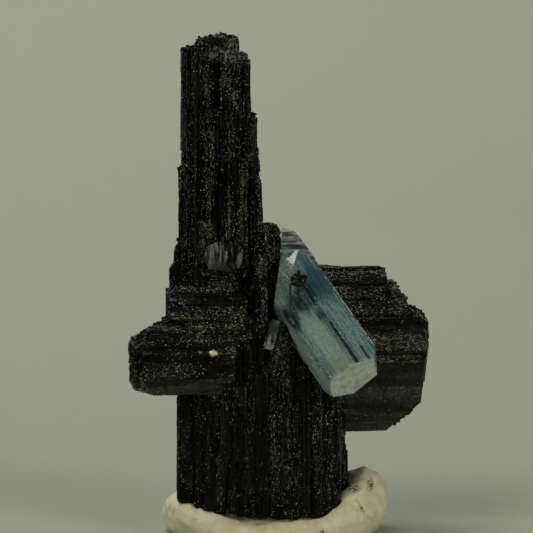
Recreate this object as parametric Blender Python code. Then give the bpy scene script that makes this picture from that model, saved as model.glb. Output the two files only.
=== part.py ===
"""Aquamarine on schorl: a pale blue beryl prism grown on a cluster of black, fluted
tourmaline crystals, standing in a roll of mounting putty.

Sizes are written in millimetres and become metres where each mesh is made. +X is to the
right of the specimen's display side, +Y runs away from it, and +Z is up. The origin is the
middle of the putty's flat underside.
"""

import math
import random

import bmesh
import bpy
from mathutils import Matrix, Vector

MM = 0.001

# Driving dimensions, in millimetres.
TOWER_TOP = 51.7
STONE_FOOT = 2.5
PUTTY_SUNK = 0.4
FIT_GAP = 0.1
NEEDLE_GAP = 0.06

# The column's outline seen from above, which the small prisms follow.
TRUNK_OUTLINE = [
    (-7.9, -4.2), (-3.0, -5.5), (3.0, -5.7), (7.2, -4.6),
    (8.1, -0.6), (7.0, 4.2), (1.0, 5.8), (-5.0, 5.4), (-7.9, 2.8),
]
TOWER_OUTLINE = [
    (-7.8, -2.6), (-6.3, -4.4), (-3.2, -4.6), (-2.0, -3.2),
    (-1.9, 0.4), (-3.0, 2.6), (-5.8, 3.0), (-7.8, 1.2),
]
TRUNK_STEP, TRUNK_RADIUS = 1.30, 0.82
TOWER_STEP, TOWER_RADIUS = 1.16, 0.70

# The aquamarine: the middle of its end face, its long axis, and its hexagon.
BERYL_END = Vector((9.6, -9.2, 17.6))
BERYL_ALONG = Vector((0.520, -0.504, -0.690))
BERYL_APOTHEM = 3.1
BERYL_TOP = 31.6

# The black needle that runs into the aquamarine from its end face.
NEEDLE_PLACE = (0.73, 2.3)
NEEDLE_RADIUS, NEEDLE_LENGTH = 0.21, 5.4

# The side crystals: where each leaves the column, which way it grows, and how far.
LEFT_ROOT, LEFT_ALONG, LEFT_LENGTH = (-3.5, -3.7, 19.1), (-1.0, -0.12, 0.0), 9.9
MIDDLE_ROOT, MIDDLE_ALONG, MIDDLE_LENGTH = (-1.9, -4.7, 24.0), (-1.0, -0.05, 0.02), 7.7
RIGHT_ROOT, RIGHT_ALONG, RIGHT_LENGTH = (1.0, 1.8, 18.6), (1.0, 0.03, 0.012), 16.15

# The smaller things on the front: the little aquamarine's two ends and radius, and where the
# clear tablet and the yellow grain sit.
SMALL_BERYL_ROOT, SMALL_BERYL_TIP, SMALL_BERYL_RADIUS = (1.45, -6.75, 23.0), (0.6, -7.2, 20.1), 0.5
TABLET_PLACE = (-3.95, -4.6, 29.4)
GRAIN_PLACE = (-5.0, -7.35, 19.7)

# Seeds for the small prisms, and how the core of the column stands in them.
TRUNK_SEED, FRONT_SEED, TOWER_SEED, STEP_SEED, LEDGE_SEED = 11, 12, 13, 14, 15
CORE_FOOT, CORE_TILT = STONE_FOOT + 0.9, (0.02, 0.03)


def clear_scene():
    for old in list(bpy.data.objects):
        bpy.data.objects.remove(old, do_unlink=True)


def material(name, colour, roughness, transmission=0.0, ior=1.5):
    made = bpy.data.materials.new(name)
    made.use_nodes = True
    shader = made.node_tree.nodes["Principled BSDF"]
    shader.inputs["Base Color"].default_value = (*colour, 1.0)
    shader.inputs["Roughness"].default_value = roughness
    shader.inputs["Metallic"].default_value = 0.0
    shader.inputs["IOR"].default_value = ior
    shader.inputs["Transmission Weight"].default_value = transmission
    made.diffuse_color = (*colour, 1.0)
    return made


def object_from(name, bm):
    """Makes a mesh object from a bmesh in millimetres, with its faces pointing out."""
    bmesh.ops.recalc_face_normals(bm, faces=bm.faces[:])
    bm.transform(Matrix.Scale(MM, 4))
    mesh = bpy.data.meshes.new(name)
    bm.to_mesh(mesh)
    bm.free()
    obj = bpy.data.objects.new(name, mesh)
    bpy.context.scene.collection.objects.link(obj)
    return obj


def crystal_frame(origin, along, up=(0, 0, 1)):
    """A crystal's own axes: its z runs along it, its y leans to up, its x lies across."""
    z = Vector(along).normalized()
    y = (Vector(up) - z * Vector(up).dot(z)).normalized()
    frame = Matrix((y.cross(z), y, z)).transposed().to_4x4()
    frame.translation = Vector(origin)
    return frame


def prism(name, ring, low, high, frame, low_tilt=(0, 0), high_tilt=(0, 0), shoulder=0.0):
    """A straight prism on the outline ring, with a flat tilted face at each end.

    A shoulder bevels the high end over that many millimetres.
    """
    middle = sum((Vector(p) for p in ring), Vector((0, 0))) / len(ring)
    levels = [(low, low_tilt, 1.0), (high - shoulder, high_tilt, 1.0)]
    if shoulder:
        levels.append((high, high_tilt, 0.66))
    bm = bmesh.new()
    loops = []
    for height, tilt, size in levels:
        loop = []
        for point in ring:
            arm = (Vector(point) - middle) * size
            place = middle + arm
            loop.append(bm.verts.new(frame @ Vector((place.x, place.y, height + arm.dot(Vector(tilt))))))
        loops.append(loop)
    count = len(ring)
    for lower, upper in zip(loops, loops[1:]):
        for i in range(count):
            j = (i + 1) % count
            bm.faces.new((lower[i], lower[j], upper[j], upper[i]))
    bm.faces.new(loops[0])
    bm.faces.new(loops[-1])
    return object_from(name, bm)


def faced_solid(name, faces, frame, reach=40.0):
    """The solid inside a set of flat crystal faces, each a normal and its distance."""
    bm = bmesh.new()
    bmesh.ops.create_cube(bm, size=2 * reach)
    for normal, distance in faces:
        out = Vector(normal).normalized()
        cut = bmesh.ops.bisect_plane(
            bm,
            geom=bm.verts[:] + bm.edges[:] + bm.faces[:],
            plane_co=out * distance,
            plane_no=out,
            clear_outer=True,
        )
        edges = [g for g in cut["geom_cut"] if isinstance(g, bmesh.types.BMEdge)]
        if edges:
            bmesh.ops.edgeloop_fill(bm, edges=edges)
    bmesh.ops.transform(bm, matrix=frame, verts=bm.verts[:])
    return object_from(name, bm)


def through(frame, point):
    """A point of the shared frame in a crystal's own axes."""
    return frame.inverted() @ Vector(point)


def small_ring(centre, radius, sides, rng):
    """An uneven outline of a small prism, as a striated crystal's ribs have."""
    turn = rng.uniform(0, math.tau)
    ring = []
    for i in range(sides):
        angle = turn + math.tau * (i + rng.uniform(-0.16, 0.16)) / sides
        arm = radius * rng.uniform(0.86, 1.1)
        ring.append((centre[0] + arm * math.cos(angle), centre[1] + arm * math.sin(angle)))
    return ring


def spaced(outline, step):
    """Evenly spaced points round a closed outline."""
    corners = [Vector(p) for p in outline]
    sides = list(zip(corners, corners[1:] + corners[:1]))
    count = round(sum((b - a).length for a, b in sides) / step)
    step = sum((b - a).length for a, b in sides) / count
    points, left = [], 0.0
    for a, b in sides:
        length = (b - a).length
        while left < length - 1e-6 and len(points) < count:
            points.append(a.lerp(b, left / length))
            left += step
        left -= length
    return points


def palisade_rows(outline, step, radius, low_of, high_of, rng):
    """Places small upright prisms side by side round an outline: x, y, radius, low, high.

    Some stop short and go on a little thinner, which leaves the ledges that broken
    striated crystals have.
    """
    rows = []
    for point in spaced(outline, step):
        x, y = point.x * rng.uniform(0.955, 1.015), point.y * rng.uniform(0.955, 1.015)
        size = radius * rng.uniform(0.78, 1.28)
        low = low_of(x, y) + rng.uniform(-0.25, 0.25)
        high = high_of(x, y) + rng.uniform(-0.3, 0.3)
        ledge = rng.uniform(0.2, 0.85)
        if high > low + 6.0 and rng.random() < 0.55:
            rows.append((x, y, size, low, low + (high - low) * ledge))
            rows.append((x * 0.975, y * 0.975, size * 0.86, low + (high - low) * ledge - 1.5, high))
        elif high > low + 0.8:
            rows.append((x, y, size, low, high))
    return rows


def upright_prisms(name, rows, seed, grow=0.0):
    """Small upright prisms from rows of x, y, radius, low, high; grow makes their fitted print."""
    rng = random.Random(seed)
    made = []
    for n, (x, y, radius, low, high) in enumerate(rows):
        ring = small_ring((x, y), radius, rng.choice((5, 6, 6, 7)), rng)
        tilts = [rng.uniform(-0.24, 0.24) for _ in range(4)]
        if grow:
            size_up = 1 + 1.25 * grow / radius
            ring = [(x + (px - x) * size_up, y + (py - y) * size_up) for px, py in ring]
        made.append(
            prism(
                f"{name}_{n}", ring, low - grow, high, Matrix.Identity(4),
                tilts[:2], tilts[2:], shoulder=0.0 if grow else 0.28,
            )
        )
    return made


def beryl_axis_height(x):
    """Height of the aquamarine's axis above this x."""
    return BERYL_END.z + (x - BERYL_END.x) * BERYL_ALONG.z / BERYL_ALONG.x


def trunk_low(x, y):
    """The column's broken foot is lowest in the middle and stepped at its sides."""
    if x < -6.4:
        return STONE_FOOT + 1.35
    if x < -2.4:
        return STONE_FOOT + 0.55
    if x < 6.2:
        return STONE_FOOT
    return STONE_FOOT + 0.7


def trunk_high(x, y):
    """Height of the column's small prisms: under the tower, under the beryl, and behind."""
    if x < -1.0:
        return 23.0 if y < 0 else 29.5 + 0.5 * x
    if x < 0.8:
        return 27.0 if y < 0 else 28.0
    if x > 6.4 and y < -1.5:
        return 14.6
    if y < -1.5:
        return min(22.9, beryl_axis_height(x))
    return 27.0 - 1.3 * (x - 2.2)


def tower_low(x, y):
    """The tower's front breaks off above the crystal that crosses the column."""
    return 28.3 if y < -3.0 and -6.2 < x < -2.0 else 20.0


def tower_high(x, y):
    """The broken top: low steps at the right and the front right, a chipped left corner."""
    if x < -6.9:
        return TOWER_TOP - 1.3
    if x < -5.8:
        return TOWER_TOP - 0.4
    if x > -3.9 and y < -1.0:
        return TOWER_TOP - 2.5
    if x > -2.9:
        return TOWER_TOP - 2.0
    return TOWER_TOP


# Single small prisms that give the column its stepped outline: x, y, radius, low, high.
TOWER_STEPS = [
    (-1.25, -2.2, 0.62, 26.0, 44.0),
    (-1.15, -0.4, 0.66, 26.0, 43.3),
    (-0.95, -1.4, 0.60, 26.0, 40.3),
    (-0.85, 0.6, 0.66, 24.0, 38.9),
    (-0.70, -2.6, 0.62, 24.0, 37.2),
    (-0.65, -0.6, 0.70, 24.0, 35.4),
    (-1.60, 1.9, 0.80, 24.0, 41.5),
    (-8.05, -0.6, 0.55, 24.0, 38.2),
    (-8.10, -2.0, 0.60, 20.0, 30.9),
    (-8.45, -1.0, 0.62, 20.0, 30.1),
    (-8.95, -1.9, 0.62, 20.0, 28.2),
    (-8.90, -0.3, 0.66, 20.0, 27.6),
    (-9.35, -2.6, 0.62, 20.0, 25.7),
    (-9.25, -1.2, 0.66, 20.0, 25.2),
    (-2.4, 3.3, 0.85, 20.0, 36.4),
    (-5.0, 3.9, 0.95, 20.0, 33.8),
    (-7.4, 2.6, 0.80, 20.0, 31.6),
]
SHOULDER_COLUMN = [
    (0.55, -2.5, 0.92, 18.0, 32.5),
    (1.05, -1.1, 0.95, 18.0, 32.2),
    (0.75, 0.5, 0.90, 18.0, 31.2),
    (-0.15, -3.5, 0.80, 18.0, 29.4),
    (1.30, -2.0, 0.66, 18.0, 31.6),
]
FRONT_RIBS = [
    (-7.3, -4.6, 0.80, 4.2, 15.8),
    (-6.2, -5.2, 0.78, 3.6, 16.2),
    (-5.2, -5.7, 0.85, 3.3, 16.5),
    (-4.3, -5.9, 0.62, 3.0, 9.4),
    (-3.7, -6.0, 0.78, 8.6, 17.0),
    (-2.7, -6.05, 0.62, 8.0, 22.0),
    (-1.7, -6.1, 0.80, 7.7, 20.5),
    (-0.6, -6.1, 0.70, 8.5, 22.6),
    (0.4, -6.15, 0.66, 2.7, 18.2),
    (1.3, -6.2, 0.74, 2.6, 20.3),
    (2.5, -6.15, 0.84, 2.6, 20.8),
    (3.5, -6.2, 0.60, 2.7, 14.0),
    (4.3, -5.95, 0.80, 2.6, 18.4),
    (5.5, -5.6, 0.82, 2.7, 17.2),
    (6.6, -5.15, 0.66, 2.9, 13.2),
    (7.3, -4.6, 0.84, 3.4, 14.4),
    (-1.9, -6.3, 0.6, 2.8, 4.9),
    (-0.7, -6.4, 0.7, 2.6, 4.6),
    (-2.9, -6.1, 0.7, 3.0, 5.1),
]
TOWER_PEAK = [
    (-4.9, -0.9, 1.05, 44.0, TOWER_TOP + 0.1),
    (-5.9, 0.8, 0.95, 44.0, TOWER_TOP - 0.5),
    (-3.4, 0.7, 1.0, 44.0, TOWER_TOP - 0.3),
    (-3.9, -2.4, 1.0, 44.0, TOWER_TOP - 1.6),
    (-6.2, -1.9, 1.0, 44.0, TOWER_TOP - 0.9),
    (-5.1, -2.9, 0.8, 44.0, TOWER_TOP - 0.7),
    (-2.7, -0.9, 0.8, 44.0, TOWER_TOP - 1.9),
]


def shrunk(outline, amount):
    """The outline drawn in towards its middle by about this many millimetres."""
    middle = sum((Vector(p) for p in outline), Vector((0, 0))) / len(outline)
    return [tuple(Vector(p) - (Vector(p) - middle).normalized() * amount) for p in outline]


def column_pieces():
    """Trunk and tower: their cores, with small prisms round them."""
    flat = Matrix.Identity(4)
    back = shrunk(TRUNK_OUTLINE[5:] + TRUNK_OUTLINE[:2], 0.7)
    tower = palisade_rows(
        TOWER_OUTLINE, TOWER_STEP, TOWER_RADIUS, tower_low, tower_high, random.Random(TOWER_SEED)
    )
    narrow = shrunk(TOWER_OUTLINE, 0.2)
    pieces = [
        prism("trunk_core", shrunk(TRUNK_OUTLINE, 0.15), CORE_FOOT, 20.5, flat, CORE_TILT),
        prism("trunk_shoulder", back, 19.0, 26.5, flat),
        prism("tower_core", narrow, 15.0, TOWER_TOP - 2.9, flat, (0, 0), (-0.05, 0.12)),
    ]
    pieces += upright_prisms("trunk", trunk_rows(), TRUNK_SEED)
    pieces += upright_prisms("front", FRONT_RIBS, FRONT_SEED)
    pieces += upright_prisms("tower", tower, TOWER_SEED)
    pieces += upright_prisms("step", TOWER_STEPS + SHOULDER_COLUMN + TOWER_PEAK, STEP_SEED)
    return pieces


def trunk_rows():
    return palisade_rows(
        TRUNK_OUTLINE, TRUNK_STEP, TRUNK_RADIUS, trunk_low, trunk_high, random.Random(TRUNK_SEED)
    )


def left_crystal_pieces(rng):
    """A stubby prism lying to the left, with a bevelled end and ledges along its top."""
    frame = crystal_frame(LEFT_ROOT, LEFT_ALONG)
    faces = [
        ((0.0, -1.0, 0.0), 3.75), ((0.94, -0.34, 0.0), 3.78), ((1.0, 0.05, 0.0), 3.55),
        ((0.80, 0.60, 0.0), 3.05), ((0.25, 0.97, 0.0), 2.5), ((-0.55, 0.84, 0.0), 2.9),
        ((-1.0, 0.1, 0.0), 3.4), ((-0.75, -0.66, 0.0), 3.7),
        ((0, 0.1, -1.0), 0.15),
        ((0.05, 0.05, 1.0), LEFT_LENGTH),
        ((0.30, -0.62, 0.72), 8.95),
        ((0.62, 0.10, 0.78), 9.35),
        ((-0.45, -0.2, 0.87), 9.6),
        ((0.05, 0.72, 0.69), 7.65),
    ]
    pieces = [faced_solid("left_core", faces, frame)]
    ledges = [
        (2.55, 1.15, 0.95, -1.2, 9.2), (1.95, 2.1, 0.95, -2.9, 8.6), (1.15, 2.75, 0.90, -2.6, 7.9),
        (0.25, 3.05, 0.95, -2.2, 7.1), (-0.9, 2.85, 1.0, -1.8, 6.3), (-2.0, 2.1, 1.0, -1.0, 7.2),
        (-3.0, 0.9, 1.0, -1.0, 8.3), (-3.1, -0.9, 1.0, -1.0, 9.0), (-2.3, -2.4, 1.0, -1.0, 8.3),
        (3.0, -0.35, 0.62, 0.3, 9.5), (2.9, -1.9, 0.70, 0.1, 7.6), (3.05, 0.5, 0.6, -0.6, 8.9),
    ]
    for n, (x, y, radius, low, end) in enumerate(ledges):
        ring = small_ring((x, y), radius, rng.choice((5, 6, 7)), rng)
        tilts = [rng.uniform(-0.3, 0.3) for _ in range(4)]
        pieces.append(
            prism(f"left_ledge_{n}", ring, low + rng.uniform(-0.4, 0.4), end, frame,
                  tilts[:2], tilts[2:], shoulder=0.3)
        )
    return pieces


def middle_crystal_pieces(rng):
    """The small flat prism that crosses the column just above the left crystal."""
    frame = crystal_frame(MIDDLE_ROOT, MIDDLE_ALONG)
    faces = [
        ((1.0, -0.08, 0.0), 1.75), ((0.45, 0.9, 0.0), 1.55), ((-0.3, 1.0, 0.0), 1.5),
        ((0.35, -0.95, 0.0), 1.45), ((-1.0, 0.0, 0.0), 2.4), ((-0.4, -1.0, 0.0), 1.8),
        ((0, 0.05, 1.0), MIDDLE_LENGTH), ((0.35, 0.5, 0.8), 7.35), ((0, 0.1, -1.0), 0.15),
    ]
    ledges = [
        (1.0, 0.75, 0.62, 2.1, 6.6), (0.7, -1.0, 0.62, 0.9, 7.2), (-0.4, 1.3, 0.7, 1.2, 7.0),
    ]
    low_frame = crystal_frame((-1.2, -5.6, 21.3), (-1.0, -0.02, -0.01))
    low_ledges = [(0.2, 0.0, 0.85, -1.6, 6.8), (0.5, 1.05, 0.6, 0.3, 6.6)]
    pieces = [faced_solid("middle_core", faces, frame)]
    pieces += ledge_prisms("middle_ledge", ledges, frame, (0.1, -0.1), (-0.2, 0.1), rng)
    pieces += ledge_prisms("under_ledge", low_ledges, low_frame, (0.1, 0.2), (0.2, 0.1), rng)
    return pieces


def ledge_prisms(name, rows, frame, low_tilt, high_tilt, rng):
    """Six-sided prisms lying along a crystal, from rows of x, y, radius, low, high."""
    made = []
    for n, (x, y, radius, low, high) in enumerate(rows):
        ring = small_ring((x, y), radius, 6, rng)
        made.append(prism(f"{name}_{n}", ring, low, high, frame, low_tilt, high_tilt, shoulder=0.2))
    return made


def right_crystal_pieces(rng):
    """A thick prism lying to the right: a smooth main body, a stepped shoulder, a top bar."""
    frame = crystal_frame(RIGHT_ROOT, RIGHT_ALONG)
    main = [
        ((0.05, -1.0, 0.0), 8.2), ((-0.62, -0.78, 0.0), 7.15), ((-1.0, -0.10, 0.0), 4.60),
        ((-1.0, 0.12, 0.0), 4.62), ((0.0, 1.0, 0.0), 3.85), ((1.0, 0.35, 0.0), 5.9),
        ((1.0, -0.5, 0.0), 6.4),
        ((0, 0, -1.0), 1.0), ((0.0, 0.03, 1.0), RIGHT_LENGTH), ((-0.04, -0.139, 0.99), 15.87),
        ((-0.1, -0.757, 0.653), 14.12), ((0.6, 0.1, 0.8), 15.4), ((0.0, 0.75, 0.66), 13.2),
    ]
    shoulder = [
        ((-1.0, 0.0, 0.0), 3.3), ((-0.72, 0.69, 0.0), 5.75), ((0.0, 1.0, 0.0), 6.6),
        ((0.8, 0.6, 0.0), 6.6), ((1.0, 0.0, 0.0), 4.4), ((0.0, -1.0, 0.0), 0.0),
        ((0, 0, -1.0), 1.0), ((-0.15, 0.62, 0.78), 13.9), ((0.1, 0.12, 1.0), 14.3),
    ]
    pieces = [
        faced_solid("right_core", main, frame),
        faced_solid("right_shoulder", shoulder, frame),
    ]
    bars = [
        (-1.05, 7.35, 1.15, 12.0), (0.75, 7.8, 1.1, 11.9), (-1.95, 6.35, 0.85, 12.3),
        (2.3, 7.1, 1.1, 11.2), (3.7, 5.9, 1.2, 13.1), (-2.9, 4.35, 0.8, 14.9),
        (5.0, 4.2, 1.2, 14.4), (5.4, 2.2, 1.2, 13.2), (5.6, 0.2, 1.3, 15.0),
        (5.1, -1.9, 1.3, 14.1), (4.0, -4.0, 1.3, 14.9), (2.4, -5.8, 1.3, 13.2),
    ]
    for n, (x, y, radius, high) in enumerate(bars):
        ring = small_ring((x, y), radius, rng.choice((5, 6, 7)), rng)
        tilts = [rng.uniform(-0.22, 0.22) for _ in range(4)]
        pieces.append(
            prism(f"right_bar_{n}", ring, 0.2, high, frame, tilts[:2], tilts[2:], shoulder=0.3)
        )
    return pieces


def beryl_frame():
    """The aquamarine's axes: z along it to its end face, y towards the viewer's side."""
    return crystal_frame(BERYL_END, BERYL_ALONG, up=(0.0, -1.0, 0.1))


def beryl_faces(frame, grow):
    """The big aquamarine's faces in its own axes: a hexagon, a flat end with bevels, a broken top."""
    faces = []
    for k in range(6):
        angle = math.radians(100 + 60 * k)
        faces.append(((math.cos(angle), math.sin(angle), 0.0), BERYL_APOTHEM + grow))
    faces.append(((0, 0, 1.0), grow))
    return faces


def cut_in_frame(frame, normal, point, grow):
    """A face given in the shared frame, as a normal and distance in the crystal's own axes."""
    turned = frame.inverted().to_3x3() @ Vector(normal).normalized()
    return tuple(turned), turned.dot(through(frame, point)) + grow


def beryl_solids(name, grow=0.0):
    """The aquamarine's two overlapping parts: the main prism, and the clear stub above its break."""
    frame = beryl_frame()
    shared = beryl_faces(frame, grow)
    bevels = [
        ((0.97, -0.05, 0.22), 3.2 + grow), ((0.72, -0.45, 0.55), 2.55 + grow),
        ((-0.5, -0.5, 0.75), 2.35 + grow), ((-0.86, 0.1, 0.5), 2.6 + grow),
    ]
    main = shared + bevels + [
        cut_in_frame(frame, (-0.30, -0.45, 0.84), (2.6, -4.2, 28.7), grow),
        cut_in_frame(frame, (0.45, -0.55, 0.70), (4.6, -4.0, 28.4), grow),
        cut_in_frame(frame, (-1.0, 0.0, 0.15), (1.3, -5.0, 25.0), grow),
        cut_in_frame(frame, (0.1, 0.3, 0.95), (3.6, -1.5, 29.6), grow),
        cut_in_frame(frame, (1.0, -0.12, 0.02), (11.6, -8.0, 19.0), grow),
    ]
    stub = shared + [
        cut_in_frame(frame, (0.03, 0.0, 1.0), (3.2, -1.0, BERYL_TOP), grow),
        cut_in_frame(frame, (0.66, -0.1, 0.74), (4.25, -1.0, 30.75), grow),
        cut_in_frame(frame, (-1.0, 0.0, 0.05), (1.95, -1.0, 30.0), grow),
        cut_in_frame(frame, (-0.1, -1.0, 0.15), (3.5, -2.6, 29.5), grow),
        cut_in_frame(frame, (0.0, 0.0, -1.0), (3.5, -2.5, 25.0), grow),
    ]
    return [
        faced_solid(f"{name}_main", main, frame),
        faced_solid(f"{name}_stub", stub, frame),
    ]


def hexagon(centre, radius):
    corners = [math.tau * k / 6 for k in range(6)]
    return [(centre[0] + radius * math.cos(a), centre[1] + radius * math.sin(a)) for a in corners]


def needle_piece(name, radius, bottom, top):
    """A slim hexagonal needle along the aquamarine's axis, its ends measured from the end face."""
    return prism(name, hexagon(NEEDLE_PLACE, radius), bottom, top, beryl_frame())


def small_beryl(name, grow=0.0):
    """The little aquamarine beside the big one, its tip bevelled."""
    along = Vector(SMALL_BERYL_TIP) - Vector(SMALL_BERYL_ROOT)
    frame = crystal_frame(SMALL_BERYL_ROOT, along, (0, -1, 0))
    ring = hexagon((0.0, 0.0), SMALL_BERYL_RADIUS + grow)
    return prism(name, ring, -grow, along.length + grow, frame, shoulder=0.25)


def glassy_plate(name, grow=0.0):
    """The low, clear crystal on the front of the tower: a rough tablet, wider than tall."""
    frame = crystal_frame(TABLET_PLACE, (0.0, -1.0, 0.06))
    faces = [
        ((0.0, 1.0, 0.0), 1.5), ((0.75, 0.66, 0.0), 2.0), ((1.0, -0.1, 0.0), 1.95),
        ((0.6, -0.8, 0.0), 1.9), ((-0.1, -1.0, 0.0), 1.45), ((-0.85, -0.5, 0.0), 1.95),
        ((-0.95, 0.3, 0.0), 2.0), ((-0.4, 0.92, 0.0), 1.65),
        ((0, 0, -1.0), 0.8), ((0.12, 0.1, 1.0), 1.15), ((-0.3, -0.25, 0.9), 1.25),
    ]
    return faced_solid(name, [(normal, distance + grow) for normal, distance in faces], frame)


def yellow_grain(name, grow=0.0):
    """The yellow grain: an uneven lump, wider than tall, with nine facets round it and two across."""
    frame = crystal_frame(GRAIN_PLACE, (0.0, -1.0, 0.3))
    faces = [
        ((1.0, 0.15, 0.3), 0.44), ((0.55, 0.85, 0.35), 0.30), ((-0.35, 0.9, 0.3), 0.28),
        ((-1.0, 0.35, 0.2), 0.42), ((-0.75, -0.7, 0.35), 0.33), ((0.25, -1.0, 0.3), 0.27),
        ((0.9, -0.5, -0.6), 0.36), ((-0.1, 0.9, -0.6), 0.32), ((-0.9, -0.3, -0.7), 0.36),
        ((0.15, 0.1, 1.0), 0.26), ((0, 0, -1), 0.22),
    ]
    return faced_solid(name, [(normal, distance + grow) for normal, distance in faces], frame)


def boolean(target, operation, tools):
    """Applies one Boolean of target with all the tools, and removes the tools."""
    operands = bpy.data.collections.new("operands")
    bpy.context.scene.collection.children.link(operands)
    for tool in tools:
        operands.objects.link(tool)
        bpy.context.scene.collection.objects.unlink(tool)
    modifier = target.modifiers.new(operation.lower(), "BOOLEAN")
    modifier.operation = operation
    modifier.solver = "EXACT"
    modifier.operand_type = "COLLECTION"
    modifier.collection = operands
    graph = bpy.context.evaluated_depsgraph_get()
    result = bpy.data.meshes.new_from_object(target.evaluated_get(graph))
    target.modifiers.clear()
    target.data = result
    for tool in tools:
        bpy.data.objects.remove(tool, do_unlink=True)
    bpy.data.collections.remove(operands)


def keep_largest_body(obj):
    """Drops the crumbs that a cut leaves loose."""
    bm = bmesh.new()
    bm.from_mesh(obj.data)
    unseen, bodies = set(bm.verts), []
    while unseen:
        body, edge_of_body = set(), [unseen.pop()]
        while edge_of_body:
            vert = edge_of_body.pop()
            body.add(vert)
            for edge in vert.link_edges:
                other = edge.other_vert(vert)
                if other in unseen:
                    unseen.discard(other)
                    edge_of_body.append(other)
        bodies.append(body)
    largest = max(bodies, key=len)
    bmesh.ops.delete(bm, geom=[v for v in bm.verts if v not in largest], context="VERTS")
    bm.to_mesh(obj.data)
    bm.free()


def near_angle(angle, centre, width):
    """One at the angle centre, falling off smoothly round it."""
    apart = (angle - centre + math.pi) % math.tau - math.pi
    return math.exp(-(apart / width) ** 2)


def putty_ring(angle):
    """Centre line, half width and half height of the putty roll at an angle round the column."""
    lobe = near_angle(angle, 0.05, 0.75)
    left = near_angle(angle, 3.45, 0.62)
    back = near_angle(angle, 1.7, 0.9)
    pinch = near_angle(angle, 4.55, 0.14) + near_angle(angle, 5.35, 0.16)
    across = 8.9 + 1.35 * lobe
    deep = 7.7
    wide = 1.42 + 1.15 * lobe + 0.75 * left + 0.75 * back - 0.26 * pinch + 0.06 * math.sin(5 * angle)
    tall = 1.24 + 2.15 * lobe + 1.20 * left + 1.30 * back - 0.20 * pinch + 0.05 * math.sin(7 * angle)
    centre = Vector((across * math.cos(angle) + 0.5, deep * math.sin(angle), tall - PUTTY_SUNK))
    return centre, wide, tall


def putty_pieces():
    """The rolled ring of putty, and the pad that fills it under the stone."""
    rings, sides = 56, 12
    bm = bmesh.new()
    loops = []
    for i in range(rings):
        angle = math.tau * i / rings
        centre, wide, tall = putty_ring(angle)
        ahead = putty_ring(angle + 0.01)[0] - centre
        out = Vector((ahead.y, -ahead.x, 0)).normalized()
        loops.append([
            bm.verts.new(
                centre
                + out * wide * math.cos(math.tau * k / sides)
                + Vector((0, 0, tall * math.sin(math.tau * k / sides)))
            )
            for k in range(sides)
        ])
    for i in range(rings):
        near, far = loops[i], loops[(i + 1) % rings]
        for k in range(sides):
            m = (k + 1) % sides
            bm.faces.new((near[k], near[m], far[m], far[k]))
    corners = [math.tau * k / 24 for k in range(24)]
    pad = [(8.3 * math.cos(a) + 0.3, 6.1 * math.sin(a) + 0.3) for a in corners]
    flat = Matrix.Identity(4)
    sole = [(x * 1.12, y * 1.22) for x, y in pad]
    return [
        object_from("putty_roll", bm),
        prism("putty_pad", pad, -1.0, 2.9, flat),
        prism("putty_sole", sole, -0.8, 0.7, flat),
    ]


def block(name, low, high):
    bm = bmesh.new()
    bmesh.ops.create_cube(bm, size=1.0)
    size = Vector(high) - Vector(low)
    middle = (Vector(high) + Vector(low)) / 2
    bmesh.ops.scale(bm, vec=size, verts=bm.verts[:])
    bmesh.ops.translate(bm, vec=middle, verts=bm.verts[:])
    return object_from(name, bm)


def build_schorl():
    """Every black crystal grown together into one solid, less the pockets of the other minerals."""
    rng = random.Random(LEDGE_SEED)
    pieces = column_pieces()
    pieces += left_crystal_pieces(rng)
    pieces += middle_crystal_pieces(rng)
    pieces += right_crystal_pieces(rng)
    schorl = pieces[0]
    schorl.name = "schorl_cluster"
    boolean(schorl, "UNION", pieces[1:])
    pockets = beryl_solids("beryl_pocket", FIT_GAP)
    pockets += [
        small_beryl("small_beryl_pocket", FIT_GAP),
        glassy_plate("glassy_pocket", FIT_GAP),
        yellow_grain("grain_pocket", FIT_GAP),
    ]
    boolean(schorl, "DIFFERENCE", pockets)
    keep_largest_body(schorl)
    return schorl


def build_aquamarine():
    main, stub = beryl_solids("aquamarine")
    main.name = "aquamarine"
    boolean(main, "UNION", [stub])
    hole = needle_piece("needle_hole", NEEDLE_RADIUS + NEEDLE_GAP, -NEEDLE_LENGTH - NEEDLE_GAP, 1.0)
    boolean(main, "DIFFERENCE", [hole])
    return main


def build_putty():
    """The putty, flat underneath, with the print of the column's foot pressed into it."""
    roll, *filling = putty_pieces()
    roll.name = "mounting_putty"
    boolean(roll, "UNION", filling)
    gap = 2 * FIT_GAP
    core = prism(
        "foot_core", shrunk(TRUNK_OUTLINE, 0.05 - gap), CORE_FOOT - gap, 12.0, Matrix.Identity(4), CORE_TILT
    )
    foot = [core] + upright_prisms("foot", trunk_rows(), TRUNK_SEED, gap)
    foot += upright_prisms("rib_foot", FRONT_RIBS, FRONT_SEED, gap)
    boolean(roll, "DIFFERENCE", foot + [block("under", (-40, -40, -20), (40, 40, 0))])
    keep_largest_body(roll)
    roll.data.shade_smooth()
    roll.data.set_sharp_from_angle(angle=math.radians(38))
    return roll


def main():
    clear_scene()
    black = material("schorl_black", (0.012, 0.012, 0.011), 0.32)
    blue = material("aquamarine_blue", (0.45, 0.68, 0.74), 0.08, 0.8, 1.577)
    clear = material("clear_crystal", (0.62, 0.70, 0.72), 0.1, 0.8, 1.5)
    yellow = material("yellow_grain", (0.62, 0.55, 0.22), 0.4)
    cream = material("putty_cream", (0.60, 0.55, 0.43), 0.75)

    build_schorl().data.materials.append(black)
    build_aquamarine().data.materials.append(blue)
    needle = needle_piece("schorl_needle", NEEDLE_RADIUS, -NEEDLE_LENGTH, 0.0)
    needle.data.materials.append(black)
    small_beryl("small_aquamarine").data.materials.append(blue)
    glassy_plate("glassy_tablet").data.materials.append(clear)
    yellow_grain("yellow_grain").data.materials.append(yellow)
    build_putty().data.materials.append(cream)


main()
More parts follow.
